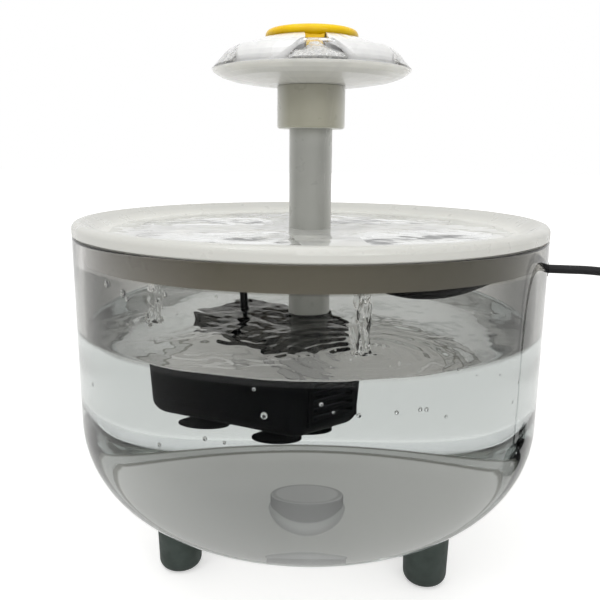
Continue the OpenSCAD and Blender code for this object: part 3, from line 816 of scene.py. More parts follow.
@dataclass(frozen=True)
class Wet(Moulded):
    """Milky plastic under a film of running water.

    Attributes:
        through: Share of the light that passes.
        film: Weight of the water on it.
        streak: Depth of the water's streaks.
    """

    through: float = 0.3
    film: float = 1.0
    streak: float = 0.5

    def material(self) -> Material:
        """Build the material."""
        s = Shader(self.slot)
        run = s.streaks(9.0, 140.0)
        look = {
            "Base Color": s.blend(s.spread(run, 0.35, 0.65), self.colour, self.varied),
            "Roughness": s.spread(s.noise(self.patch), 0.3, 0.7, *self.rough),
            "IOR": 1.45,
            "Transmission Weight": self.through,
            "Subsurface Weight": self.glow,
            "Subsurface Scale": 0.004,
            "Subsurface Radius": (1.0, 0.97, 0.92),
            "Normal": s.bump(s.noise(self.grain, 2.0), self.depth),
            "Coat Weight": self.film,
            "Coat Roughness": 0.03,
            "Coat IOR": WATER_INDEX,
            "Coat Normal": s.bump(run, self.streak),
        }
        surface = s.node("ShaderNodeBsdfPrincipled", look)
        return s.done(s.light_passes(surface, 0.25 + 0.5 * self.through))


@dataclass(frozen=True)
class Clear:
    """A clear finish: acrylic or water.

    Attributes:
        slot: Name of the finish, the record's material slot where there is one.
        tint: Colour of what passes.
        index: Index of refraction.
        passes: Share of lamp light that passes.
        glare: Strength of what it mirrors.
    """

    slot: str
    tint: Colour
    index: float = WATER_INDEX
    passes: float = 0.97
    glare: float = 0.04

    def tinted(self, s: Shader) -> Source:
        """Return the colour of what passes."""
        return self.tint

    def glares(self, s: Shader) -> Source:
        """Return the strength of what it mirrors."""
        return grey(self.glare)

    def surface(self, s: Shader) -> bpy.types.Node:
        """Make the shader node."""
        look = {
            "Base Color": self.tinted(s),
            "Roughness": 0.0,
            "IOR": self.index,
            "Transmission Weight": 1.0,
            "Specular Tint": self.glares(s),
        }
        return s.node("ShaderNodeBsdfPrincipled", look)

    def material(self) -> Material:
        """Build the material."""
        s = Shader(self.slot)
        return s.done(s.light_passes(self.surface(s), self.passes))


@dataclass(frozen=True)
class StillWater(Clear):
    """Water whose free surface mirrors more than its sides, which only touch the wall.

    Attributes:
        open_glare: Strength of what the free surface mirrors.
        open_z: Heights between which the free surface starts.
    """

    open_glare: float = 1.0
    open_z: Pair = (102.6, 102.9)

    def glares(self, s: Shader) -> Source:
        """Return the strength of what it mirrors, by height."""
        return s.ramp(s.part("Z"), *self.open_z, self.glare, self.open_glare)


@dataclass(frozen=True)
class TankAcrylic(Clear):
    """Clear acrylic, with painted shade above the water, before the skirt and as a diffuse sheet
    underneath.

    Attributes:
        above_shade: Painted shade: colour of what passes above the water.
        limb: The same where the wall is seen edge on.
        shaded: Painted shade: colours of what passes before the tray's skirt, at the left and in
            the middle.
        skirt_x: Places along X between which one blends into the other.
        skirt_z: Heights between which the skirt starts.
        shade_sheet: Colour of the diffuse sheet on the bottom, which stands in for the shaded floor
            seen through it.
        line: Colour of the sheet's edge, a painted dark shade line.
        shade_sheet_shares: Share of the bottom and of the boss that is the diffuse sheet.
        shade_sheet_z: Height of the sheet's edge.
        boss: Painted shade and light: greys of the boss at its foot, on its side, round its top and
            in its middle.
        boss_r: Radii between which the boss ends.
        ring_r: Radii between which the middle of its top ends.
        foot_z: Heights between which its foot ends.
        top_z: Heights between which its side ends.
    """

    above_shade: Colour = (0.7, 0.7, 0.685)
    limb: Colour = (0.16, 0.16, 0.152)
    shaded: tuple[Colour, Colour] = ((0.6, 0.59, 0.58), (0.42, 0.41, 0.38))
    skirt_x: Pair = (-90.0, -20.0)
    skirt_z: Pair = (130.9, 131.2)
    shade_sheet: Colour = (0.97, 0.97, 0.955)
    line: Colour = (0.36, 0.36, 0.33)
    shade_sheet_shares: Pair = (0.94, 0.97)
    shade_sheet_z: float = 31.4
    boss: tuple[float, ...] = (0.58, 0.4, 0.64, 0.82)
    boss_r: Pair = (12.4, 12.6)
    ring_r: Pair = (9.6, 10.4)
    foot_z: Pair = (30.4, 30.7)
    top_z: Pair = (34.2, 34.6)

    def shade_sheet_share(self, s: Shader) -> Socket:
        """Return the share of the diffuse sheet, by height and by distance from the boss."""
        z, top = s.part("Z"), self.shade_sheet_z
        bottom, boss = self.shade_sheet_shares
        puck = s.ramp(s.reach(), *self.boss_r, boss, 0.0)
        puck = s.calc("MULTIPLY", puck, s.ramp(z, 29.3, 29.6))
        return s.calc("MAXIMUM", s.ramp(z, top - 0.2, top + 0.2, bottom, 0.0), puck)

    def shade_sheet_colour(self, s: Shader) -> Socket:
        """Return the colour of the diffuse sheet, with a painted shade line at its edge and painted
        shade and light on the boss.
        """
        z, reach, top = s.part("Z"), s.reach(), self.shade_sheet_z
        # Painted shade and light: the boss's foot and side are darker, its top lighter.
        foot, side, ring, middle = (grey(v) for v in self.boss)
        tone = s.blend(s.ramp(z, *self.foot_z), foot, side)
        cap = s.blend(s.ramp(reach, *self.ring_r), middle, ring)
        tone = s.blend(s.ramp(z, *self.top_z), tone, cap)
        # Painted shade: a dark line along the sheet's edge.
        plain = s.blend(s.ramp(z, top - 0.7, top - 0.4), self.shade_sheet, self.line)
        inside = s.ramp(reach, *self.boss_r, 1.0, 0.0)
        return s.blend(s.calc("MULTIPLY", inside, s.ramp(z, 29.2, 29.3)), plain, tone)

    def tinted(self, s: Shader) -> Source:
        """Return the colour of what passes, by height, with painted shade above the water, at the
        limb and before the skirt.
        """
        z = s.part("Z")
        wobble = s.spread(s.noise(25), 0.3, 0.7, -0.6 * MM, 0.6 * MM)
        above = s.ramp(s.calc("ADD", z, wobble), WATER_Z, WATER_Z + 1.2)
        # Painted shade: what passes above the water is darkened, still more where the wall is seen
        # edge on.
        dry = s.blend(s.facing(0.15, 0.6), self.above_shade, self.limb)
        # Painted shade: what passes before the tray's skirt is darkened.
        dark = s.blend(s.ramp(s.part("X"), *self.skirt_x), *self.shaded)
        return s.blend(s.ramp(z, *self.skirt_z), s.blend(above, self.tint, dry), dark)

    def surface(self, s: Shader) -> bpy.types.Node:
        """Make the shader node, clear and with the diffuse sheet of painted shade."""
        flat = s.node("ShaderNodeBsdfDiffuse", {"Color": self.shade_sheet_colour(s)})
        return s.node("ShaderNodeMixShader", {0: self.shade_sheet_share(s), 1: super().surface(s), 2: flat})


FINISHES: tuple[Moulded | Clear, ...] = (
    TankAcrylic("clear_acrylic", (0.775, 0.79, 0.785), 1.49),
    StillWater("still_water", (0.945, 0.96, 0.957)),
    Clear("running_water", (0.97, 0.968, 0.962), passes=0.93, glare=1.0),
    Wet("clear_dish", srgb(255, 252, 238), srgb(250, 247, 234), (0.3, 0.45), 90, 1200, glow=0.8,
        through=0.2, film=0.6, streak=0.3),
    Wet("aerated_water", srgb(252, 252, 249), srgb(240, 240, 236), (0.2, 0.35), 900, 1500, 0.15,
        0.6),
    Wet("petal_plastic", srgb(255, 255, 254), srgb(248, 248, 248), (0.25, 0.4), 90, 1200,
        glow=0.3, through=0.02, streak=0.4),
    Moulded("white_plastic", srgb(236, 235, 231), srgb(230, 229, 224), (0.25, 0.4), 50, 2400,
            0.002, 0.08),
    Basin("tray_plastic", srgb(229, 229, 223), srgb(223, 223, 217), (0.25, 0.4), 50, 2400, 0.001,
          0.08),
    # The riser tube and the collar are white plastic given darker greys as painted shade; their
    # paler edges are a painted sheen.
    Milky("tube_plastic", srgb(168, 169, 164), srgb(160, 161, 156), (0.25, 0.4), 50, 2400, 0.002,
          edge=srgb(212, 213, 209)),
    Milky("milky_plastic", srgb(177, 175, 158), srgb(168, 166, 149), (0.25, 0.4), 50, 2400, 0.002,
          edge=srgb(230, 230, 222)),
    Moulded("white_silicone", srgb(218, 218, 213), srgb(208, 208, 203), (0.5, 0.65), 80, 1800,
            glow=0.2),
    Moulded("yellow_plastic", srgb(255, 212, 0), srgb(248, 198, 0), (0.22, 0.38), 120, 1600, 0.004,
            mirror=0.25),
    Moulded("foot_silicone", srgb(62, 71, 67), srgb(52, 60, 56), (0.5, 0.68), 110, 1500,
            mirror=0.3),
    Moulded("black_plastic", srgb(7, 8, 10), srgb(4, 5, 6), (0.4, 0.58), 90, 2200, 0.002,
            mirror=0.02),
    Moulded("black_rubber", srgb(12, 13, 15), srgb(8, 9, 10), (0.5, 0.7), 140, 1500, 0.004,
            mirror=0.04),
    Moulded("black_pvc", srgb(24, 24, 26), srgb(18, 18, 20), (0.35, 0.5), 140, 1500, 0.004,
            mirror=0.2),
    Moulded("steel_laminations", grey(0.42), grey(0.3), (0.35, 0.55), 300, 2000, 0.02,
            metallic=1.0),
    Wound("copper_wire", (0.55, 0.2, 0.09), (0.24, 0.07, 0.03)),
    Moulded("circuit_board", srgb(22, 84, 48), srgb(16, 62, 36), (0.3, 0.45), 500, 2200),
    Moulded("potting_resin", srgb(24, 24, 26), srgb(36, 36, 38), (0.12, 0.25), 60, 700, 0.03),
    Moulded("ceramic", srgb(236, 234, 228), srgb(222, 219, 212), (0.15, 0.25), 200, 1800, 0.004),
    Moulded("ferrite", srgb(58, 57, 58), srgb(44, 43, 45), (0.45, 0.6), 400, 2600, 0.02),
    Moulded("impeller_plastic", srgb(190, 196, 200), srgb(176, 182, 188), (0.25, 0.4), 150, 1800),
    Porous("sponge", srgb(52, 56, 60), srgb(18, 20, 22), depth=0.5),
    Moulded("plug_metal", grey(0.62), grey(0.55), (0.18, 0.3), 300, 2500, 0.004, metallic=1.0),
)  # fmt: skip


# --------------------------------------------------------------------------------------
# Waves
# --------------------------------------------------------------------------------------


@dataclass(frozen=True)
class RingWave:
    """Rings that run outwards from one spot.

    Attributes:
        x: Spot along X.
        y: Spot along Y.
        height: Height of the first ring.
        length: Distance between rings.
        fade: Distance over which they fade.
        phase: Where the first ring starts.
    """

    x: float
    y: float
    height: float
    length: float
    fade: float
    phase: float = 0.0

    def at(self, x: np.ndarray, y: np.ndarray) -> np.ndarray:
        """Return the height at each place."""
        d = np.hypot(x - self.x, y - self.y)
        return self.height * np.cos(TURN * d / self.length + self.phase) * np.exp(-d / self.fade)


@dataclass(frozen=True)
class Chop:
    """Small crossing waves from every side, the same on each run.

    Attributes:
        seed: Seed of the directions.
        count: Number of waves.
        shortest: Shortest wave.
        longest: Longest wave.
        height: Height of the longest wave.
    """

    seed: int
    count: int
    shortest: float
    longest: float
    height: float

    def at(self, x: np.ndarray, y: np.ndarray) -> np.ndarray:
        """Return the height at each place."""
        dice = np.random.default_rng(self.seed)
        total = np.zeros_like(x)
        for _ in range(self.count):
            span = dice.uniform(self.shortest, self.longest)
            way, phase = dice.uniform(0, TURN, 2)
            along = x * math.cos(way) + y * math.sin(way)
            bend = 0.35 * np.sin((x * math.sin(way) - y * math.cos(way)) / span * 1.7 + phase)
            total += np.sin(TURN * along / span + phase + 2.2 * bend) * span / self.longest
        return total * self.height / math.sqrt(self.count)


@dataclass(frozen=True)
class Ruffled:
    """Waves on a level surface, which die away towards its edge.

    Attributes:
        waves: The waves.
        level: Height of the surface at rest.
        edge: Radius at which they have died away.
        fade: Distance over which they do.
        least: Share of them that is left at the edge.
    """

    waves: Sequence[RingWave | Chop]
    level: float
    edge: float
    fade: float
    least: float = 0.0

    def __call__(self, r: np.ndarray, a: np.ndarray, z: np.ndarray) -> np.ndarray:
        """Return the change of height of points, none for those below the surface.

        Args:
            r: Distance of each point from the axis.
            a: Angle of each point.
            z: Height of each point.

        Returns:
            The changes.
        """
        x, y = r * np.cos(a), r * np.sin(a)
        height = sum(wave.at(x, y) for wave in self.waves)
        share = np.clip((self.edge - r) / self.fade, self.least, 1.0)
        return np.where(z > self.level - 0.05, height * share, 0.0)


@dataclass(frozen=True)
class Trail:
    """A thin trail of water that runs down an upright round face.

    Attributes:
        name: Name of the piece.
        radius: Radius of the face.
        span: Lowest and highest point.
        seed: Seed of its shape.
        angle: Degrees round the axis at which it runs.
    """

    name: str
    radius: float
    span: Pair
    seed: int
    angle: float = -53.0

    def make(self) -> Piece:
        """Make the trail."""
        phases = np.random.default_rng(self.seed).uniform(0, TURN, 4)
        z = np.arange(self.span[1], self.span[0], -0.8)
        middle = math.radians(self.angle) + 0.05 * np.sin(z / 7 + phases[0])
        half = 1.5 + 0.35 * np.sin(z / 5 + phases[1]) + 0.2 * np.sin(z / 2.1 + phases[2])
        deep = 0.45 + 0.12 * np.sin(z / 3 + phases[3])
        a = circle(24)
        turn = middle[:, None] + (half / self.radius)[:, None] * np.cos(a)
        reach = self.radius + 0.05 + deep[:, None] * np.sin(a)
        upright = np.repeat(z[:, None], len(a), 1)
        rings = np.stack([reach * np.cos(turn), reach * np.sin(turn), upright], axis=2)
        return skinned(self.name, rings)


# --------------------------------------------------------------------------------------
# Studio
# --------------------------------------------------------------------------------------


@dataclass
class Studio:
    """Camera, lamps, floor and surroundings.

    Attributes:
        eye: Place of the camera.
        azimuth: Degrees that the camera stands round from the front.
        pitch: Degrees that it looks down.
        yaw: Degrees that it looks to the left of the tank's axis.
        roll: Degrees that it is turned about its own axis.
        focal: Focal length in pixels of the picture.
        picture: Width of the picture in pixels.
        target: Place in metres that the lamps face.
        lamps: Name, place in metres, side in metres and power in watts of each lamp.
    """

    eye: Point = (22.11, -287.35, 171.1)
    azimuth: float = 4.4
    pitch: float = 12.006
    yaw: float = 0.768
    roll: float = 0.47
    focal: float = 687.9
    picture: float = 600.0
    target: Point = (0.0, 0.0, 0.1)
    lamps: tuple[tuple[str, Point, float, float], ...] = (
        ("top_softbox", (-0.1, -0.25, 1.45), 1.3, 8.0),
        ("front_fill", (0.12, -1.6, 0.9), 1.0, 5.0),
        ("glint", (-0.35, -0.5, 1.0), 0.16, 0.9),
        ("side_glint", (0.5, -0.7, 0.55), 0.12, 0.6),
    )

    def camera(self) -> None:
        """Make the camera."""
        data = bpy.data.cameras.new("camera")
        data.sensor_width = 36.0
        data.lens = self.focal / self.picture * data.sensor_width
        data.clip_start, data.clip_end = 0.005, 50.0
        cam = link_object("camera", data)
        turn, down = math.radians(self.azimuth + self.yaw), math.radians(self.pitch)
        flat = math.cos(down)
        ahead = Vector((-math.sin(turn) * flat, math.cos(turn) * flat, -math.sin(down)))
        roll = Matrix.Rotation(math.radians(self.roll), 4, "Z").to_quaternion()
        cam.rotation_mode = "QUATERNION"
        cam.rotation_quaternion = ahead.to_track_quat("-Z", "Y") @ roll
        cam.location = Vector(self.eye) * MM
        bpy.context.scene.camera = cam

    def on_wall(self, x: float, y: float, radius: float) -> Vector:
        """Find where the view through a spot of the picture meets an upright cylinder.

        Args:
            x: Pixels from the picture's left edge.
            y: Pixels from its top edge.
            radius: Radius of the cylinder, which stands on the model's axis.

        Returns:
            The nearest place on the cylinder.
        """
        half = self.picture / 2
        cam = bpy.context.scene.camera
        way = cam.rotation_quaternion @ Vector((x - half, half - y, -self.focal))
        flat, start = Vector(way[:2]), Vector(self.eye[:2])
        a, b, c = flat.dot(flat), flat.dot(start), start.dot(start) - radius * radius
        t = (-b - math.sqrt(max(b * b - a * c, 0.0))) / a
        return Vector(self.eye) + way * t

    def lamp(self, name: str, place: Point, size: float, power: float) -> None:
        """Make one soft square lamp that faces the fountain.

        Args:
            name: Name of the lamp.
            place: Place in metres.
            size: Side of its square in metres.
            power: Power in watts.
        """
        data = bpy.data.lights.new(name, "AREA")
        data.shape, data.size, data.energy = "SQUARE", size, power
        obj = link_object(name, data)
        obj.location = Vector(place)
        ahead = Vector(self.target) - Vector(place)
        obj.rotation_euler = ahead.to_track_quat("-Z", "Y").to_euler()

    def seen_rays(self, graph: Graph) -> Socket:
        """Return 1 for rays by which the background is seen, straight, mirrored or bent.

        Args:
            graph: The tree of the world or of a material.

        Returns:
            The value.
        """
        path = graph.node("ShaderNodeLightPath").outputs
        seen = graph.calc("MAXIMUM", path["Is Camera Ray"], path["Is Glossy Ray"])
        return graph.calc("MAXIMUM", seen, path["Is Transmission Ray"])

    def surroundings(self) -> None:
        """Make the world: white where it is seen, plain soft light elsewhere."""
        world = bpy.data.worlds.new("studio")
        world.use_nodes = True
        world.node_tree.nodes.clear()
        graph = Graph(world.node_tree)
        light = graph.node("ShaderNodeBackground", {0: (1.0, 0.995, 0.975), 1: 0.5})
        white = graph.node("ShaderNodeBackground", {0: (1.0, 1.0, 1.0), 1: 1.0})
        mix = graph.node("ShaderNodeMixShader", {0: self.seen_rays(graph), 1: light, 2: white})
        graph.node("ShaderNodeOutputWorld", {0: mix})
        bpy.context.scene.world = world

    def floor(self, half: float = 6000.0) -> None:
        """Make the pale floor, which keeps the fountain's shadow.

        Args:
            half: Half of its width.
        """
        s = Shader("pale_floor")
        away = s.vector("LENGTH", s.place).outputs["Value"]
        far = s.calc("MULTIPLY", s.spread(away, 0.2, 1.6, 0.2, 0.7), self.seen_rays(s))
        straight = s.node("ShaderNodeLightPath").outputs["Is Camera Ray"]
        strength = s.calc("ADD", far, s.spread(straight, 0.0, 1.0, 0.0, 0.25))
        flat = s.node("ShaderNodeBsdfDiffuse", {"Color": (0.86, 0.86, 0.855)})
        glow = s.node("ShaderNodeEmission", {"Strength": strength})
        mat = s.done(s.node("ShaderNodeAddShader", {0: flat, 1: glow}))
        corners = [(-half, -half, 0), (half, -half, 0), (half, half, 0), (-half, half, 0)]
        put_on(raw_mesh("floor", corners, [], [(0, 1, 2, 3)]), mat)

    def build(self) -> None:
        """Make lamps, floor and surroundings."""
        scene = bpy.context.scene
        scene.view_settings.view_transform = "Standard"
        scene.cycles.max_bounces = 20
        scene.cycles.transmission_bounces = 20
        scene.cycles.transparent_max_bounces = 32
        scene.cycles.glossy_bounces = 6
        scene.cycles.diffuse_bounces = 4
        scene.cycles.caustics_reflective = False
        scene.cycles.caustics_refractive = False
        self.surroundings()
        self.floor()
        for lamp in self.lamps:
            self.lamp(*lamp)


# --------------------------------------------------------------------------------------
# Fountain
# --------------------------------------------------------------------------------------


@dataclass
class Assembly:
    """One sub-assembly on the frame.

    Attributes:
        nodes: The frame's nodes.
        finish: The finishes by name.
    """

    nodes: dict[str, Piece]
    finish: dict[str, Material]

    def dress(self, **plan: str) -> None:
        """Give CAD nodes their finishes.

        Args:
            **plan: For each finish the names of its nodes, with spaces between them.
        """
        for finish, names in plan.items():
            for name in names.split():
                put_on(self.nodes[name], self.finish[finish])

    def add_water(self, body: Body, words: str, *pieces: Piece) -> None:
        """Let pieces of water ride on a body.

        Args:
            body: The body.
            words: What the log says of them.
            *pieces: The pieces.
        """
        for piece in pieces:
            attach(piece, body.value)
            report(piece, words)


@dataclass
class PowerLead(Assembly):
    """The lead from the pump's gland to its plug.

    Attributes:
        width: Diameter of the lead.
        layers: Heights of the two layers of the coil.
        turns: Radius of each turn, outermost first.
        centre: Middle of the coil.
        step: Degrees in which one turn moves over to the next.
        exit_z: Height of the cable slot, from which the inner routes are measured.
        outer: Route from the slot down to the coil.
        tail: Route from the coil to the plug.
        upper: Route from the clip under the tray to the slot.
        lower: Route from the pump's gland to the clip.
    """

    width: float = 3.5
    layers: Pair = (2.55, 6.08)
    turns: tuple[float, ...] = (24.5, 20.9, 17.3, 13.7)
    centre: Pair = (180.0, 12.0)
    step: float = 50.0
    exit_z: float = 127.0
    outer: tuple[Point, ...] = (
        (94.4, -8.25, 127), (104, -9.1, 127), (112, -9.8, 126.9), (120, -10.4, 126),
        (128, -11, 123), (135, -11.4, 117.5), (140, -11.7, 110), (143, -12, 101),
        (144.5, -12.2, 91), (145, -12.3, 81), (145, -12.4, 71), (145, -12.4, 61),
        (145.5, -12.5, 51), (146.5, -12.5, 41), (148.5, -12.5, 31.5), (152, -12.5, 22.5),
        (157, -12.5, 14), (163.5, -12.5, 7), (171, -12.5, 3.5),
    )  # fmt: skip
    tail: tuple[Point, ...] = ((204.6, 18, 5.9), (204.8, 24, 5.3), (205, 30, 4.5), (205, 36, 4.5))
    upper: tuple[Point, ...] = (
        (-30.3, 18.9, 2.5), (-29.6, 20, 3.8), (-28.1, 22.2, 5.1), (-25.6, 25.6, 5.8),
        (-20, 30.4, 5.6), (-12.6, 33.4, 4), (-4, 34.8, 1), (5, 34.4, -3), (13.4, 32, -8.2),
        (21.4, 28, -13), (29.6, 23.2, -16.2), (38.4, 17.8, -17.4), (47.4, 11.6, -17),
        (56.4, 5.2, -15), (65, -0.4, -11.6), (73, -4.2, -7.4), (80, -6.4, -3.2),
        (86.4, -7.5, -0.6), (91.2, -8, 0), (94.4, -8.25, 0),
    )  # fmt: skip
    lower: tuple[Point, ...] = (
        (-30.6, 13.4, -32), (-30.6, 13.4, -26), (-30.8, 13.7, -20), (-31.5, 14.6, -14),
        (-32.2, 15.6, -9), (-32.2, 16.2, -4.6), (-31.7, 16.9, -1.2), (-31, 17.8, 1.2),
        (-30.3, 18.9, 2.5),
    )  # fmt: skip

    def coil(self) -> list[Point]:
        """Return the points of the coil: four turns inwards, then four on top outwards."""
        points: list[Point] = []
        low, high = self.layers
        count = len(self.turns)
        radii = [*self.turns, *reversed(self.turns), self.turns[0]]
        for deg in np.arange(0.0, 720.0 * count + 91.0, 7.5):
            turn = min(int(deg // 360), 2 * count)
            part = deg - 360 * turn
            r = radii[turn]
            if turn < 2 * count - 1 and part > 360 - self.step:
                t = (part - 360 + self.step) / self.step
                r += (radii[turn + 1] - r) * (3 - 2 * t) * t * t
            climb = (deg - (360 * count - 2.4 * self.step)) / (1.2 * self.step)
            climb = min(max(climb, 0.0), 1.0)
            z = low + (high - low) * (3 - 2 * climb) * climb * climb
            a = math.radians(deg - 90)
            points.append((self.centre[0] + r * math.cos(a), self.centre[1] + r * math.sin(a), z))
        return points

    def tube(self, name: str, line: np.ndarray, tree: ShapeTree) -> Piece:
        """Sweep the lead along a line.

        Args:
            name: Name of the piece.
            line: Points of its middle.
            tree: The sweeping tree.

        Returns:
            The piece.
        """
        path = raw_mesh(name, line, [(i, i + 1) for i in range(len(line) - 1)], [])
        return tree.run(path, Radius=self.width / 2 * MM, Sides=20, Finish=self.finish["black_pvc"])

    def build(self) -> None:
        """Make the free lead and the two stretches in the tank."""
        tree = tube_tree()
        line = smooth_line([*self.outer, *self.coil(), *self.tail], 2.0)
        free = self.tube("power_lead", line, tree)
        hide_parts("usb_lead", "lead_coil", "plug_tail")
        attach(free, Body.TANK.value)
        length = float(np.linalg.norm(np.diff(line, axis=0), axis=1).sum()) * MM
        report(free, f"{length:.2f} m free")
        slot = np.array([0.0, 0.0, self.exit_z])
        inner = self.tube("lead_to_exit", smooth_line(np.array(self.upper) + slot, 1.5), tree)
        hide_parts("lead_upper")
        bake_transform(inner)
        report(inner, "under the tray")
        drop = self.tube("lead_to_pump", smooth_line(np.array(self.lower) + slot, 1.0), tree)
        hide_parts("lead_lower")
        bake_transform(drop)
        report(drop, "from clip to gland")
        self.dress(
            black_rubber="cable_grommet lead_tie",
            black_pvc="plug_body",
            plug_metal="plug_shell",
            white_plastic="plug_insert",
        )


@dataclass
class Tank(Assembly):
    """The clear bowl, its feet, its water and what clings to its wall.

    Attributes:
        radius: Outer radius of the bowl.
        wall: Thickness of its wall and floor.
        base_z: Height of its underside.
        corner: Outer radius of its lower corner.
        boss_r: Radius of the boss in its floor.
        boss_top: Height of the boss.
        hollow: Radius and height of the hollow under the boss.
        slot_angle: Degrees at which the cable slot lies.
        slot_width: Width of the slot.
        slot_z: Height of the middle of the slot's round bottom.
        peg_r: Radius of a foot's peg.
        peg_z: Height of its lower end.
        foot_reach: Distance of the feet from the axis.
        foot_angles: Degrees at which they stand.
        drains: Places of the drain holes that water falls from.
        strands: Name, number of the drain, offset from it, half width and seed of each strand.
        segments: Steps round the axis.
        overlap: How far the water reaches into the wall.
        floating: Bubbles thrown round each strand.
        spots: Pixels of the picture and radius of each larger drop.
        above_y: Pixels down to which the drops hang on the outer face.
    """

    radius: float = 95.0
    wall: float = 3.2
    base_z: float = 26.0
    corner: float = 40.0
    boss_r: float = 11.7
    boss_top: float = 34.8
    hollow: Pair = (8.5, 31.6)
    slot_angle: float = -5.0
    slot_width: float = 5.0
    slot_z: float = 127.0
    peg_r: float = 4.5
    peg_z: float = 22.0
    foot_reach: float = 59.0
    foot_angles: tuple[float, ...] = (-150.0, -30.0, 90.0)
    drains: tuple[Pair, ...] = ((22.23, -61.08), (-61.08, -22.23))
    strands: tuple[tuple[str, int, Pair, float, int], ...] = (
        ("stream_front", 0, (-1.2, 0.0), 2.4, 7),
        ("stream_front_side", 0, (2.0, -0.6), 1.6, 31),
        ("stream_left", 1, (-1.4, 0.0), 2.0, 12),
        ("stream_left_side", 1, (1.8, -0.5), 1.6, 5),
    )
    segments: int = 288
    overlap: float = 0.15
    floating: int = 14
    spots: tuple[Point, ...] = (
        (83, 350, 0.9), (100, 383, 0.8), (123, 293, 1.2), (107, 284, 1.2), (127, 299, 0.9),
        (165, 295, 0.8), (153, 290, 0.6), (265, 414, 1.15), (163, 443, 0.8), (207, 437, 0.8),
        (255, 388, 0.6), (226, 441, 0.6), (321, 403, 0.7), (333, 411, 0.5), (395, 411, 0.75),
        (418, 408, 0.7), (424, 408, 0.75), (443, 415, 0.6), (358, 414, 0.8), (361, 330, 0.5),
        (441, 369, 0.5), (455, 368, 0.5), (512, 381, 0.6), (84, 500, 0.5), (98, 478, 0.5),
    )  # fmt: skip
    above_y: float = 345.0

    @property
    def inner(self) -> float:
        """Radius of the wall's inner face."""
        return self.radius - self.wall

    def shell(self) -> Piece:
        """Make the bowl with its cable slot and pegs."""
        r, inner, base, floor = self.radius, self.inner, self.base_z, self.base_z + self.wall
        hole, roof = self.hollow
        outline = rounded([
            (0, roof, 0), (hole, roof, 0.4), (hole, base, 0.6), (r, base, self.corner),
            (r, 118, 0), (r, RIM_Z, 0.8), (inner, RIM_Z, 0.8), (inner, 118, 0),
            (inner, floor, self.corner - self.wall), (self.boss_r, floor, 0.8),
            (self.boss_r, self.boss_top, 0.9), (0, self.boss_top, 0),
        ])  # fmt: skip
        bowl = turned("tank_shell", outline, self.segments, 50, closed=False)
        for a in np.radians(self.foot_angles):
            x, y = self.foot_reach * math.cos(a), self.foot_reach * math.sin(a)
            rim = [x + self.peg_r * np.cos(circle(48)), y + self.peg_r * np.sin(circle(48))]
            peg = [np.column_stack([*rim, np.full(48, z)]) for z in (self.peg_z, base + 1.6)]
            combine(bowl, skinned("peg", np.array(peg)), Join.ADD)
        combine(bowl, self.slot_tool(), Join.CUT)
        shade(bowl.data, 40)
        return put_on(bowl, self.finish["clear_acrylic"])

    def slot_tool(self) -> Piece:
        """Make the shape of the cable slot, open at the rim."""
        half = self.slot_width / 2
        arc = np.radians(np.linspace(180, 360, 17))
        outline = [(half * math.cos(v), self.slot_z + half * math.sin(v)) for v in arc]
        outline += [(half, RIM_Z + 10), (-half, RIM_Z + 10)]
        a = math.radians(self.slot_angle)
        out = np.array([math.cos(a), math.sin(a), 0])
        side = np.array([-math.sin(a), math.cos(a), 0])
        rings = [
            [out * reach + side * s + np.array([0, 0, z]) for s, z in outline]
            for reach in (self.radius - 10, self.radius + 10)
        ]
        return skinned("slot", np.array(rings))

    def water(self) -> Piece:
        """Make the water that fills the bowl up to its waves."""
        over, wide = self.overlap, self.boss_r - self.overlap
        inner, floor = self.inner + over, self.base_z + self.wall - over
        bottom = rounded([
            (0, self.boss_top - over, 0), (wide, self.boss_top - over, 0.9), (wide, floor, 0.8),
            (inner, floor, self.corner - self.wall + over), (inner, WATER_Z - 2, 0),
        ])  # fmt: skip
        climbs = ((0.0, 1.0), (0.35, 0.95), (0.9, 0.5), (1.8, 0.15), (3.0, 0.0))
        shore = [(inner - away, WATER_Z + up) for away, up in climbs]
        rings = [(v, WATER_Z) for v in np.linspace(inner - 3.8, 0.6, 150)]
        (ax, ay), (bx, by) = self.drains
        waves = [
            RingWave(ax, ay, 0.9, 6.4, 17.0, 1.2),
            RingWave(bx, by, 0.6, 6.5, 14.0, 0.3),
            RingWave(0, 0, 0.2, 9.0, 26.0),
            Chop(5, 16, 12.0, 44.0, 0.75),
            Chop(8, 12, 4.5, 10.0, 0.12),
        ]
        lift = Ruffled(waves, WATER_Z, inner, 6.0)
        profile = [*bottom, *shore, *rings, (0, WATER_Z)]
        pool = turned("tank_water", profile, self.segments, closed=False, lift=lift)
        return put_on(pool, self.finish["still_water"])

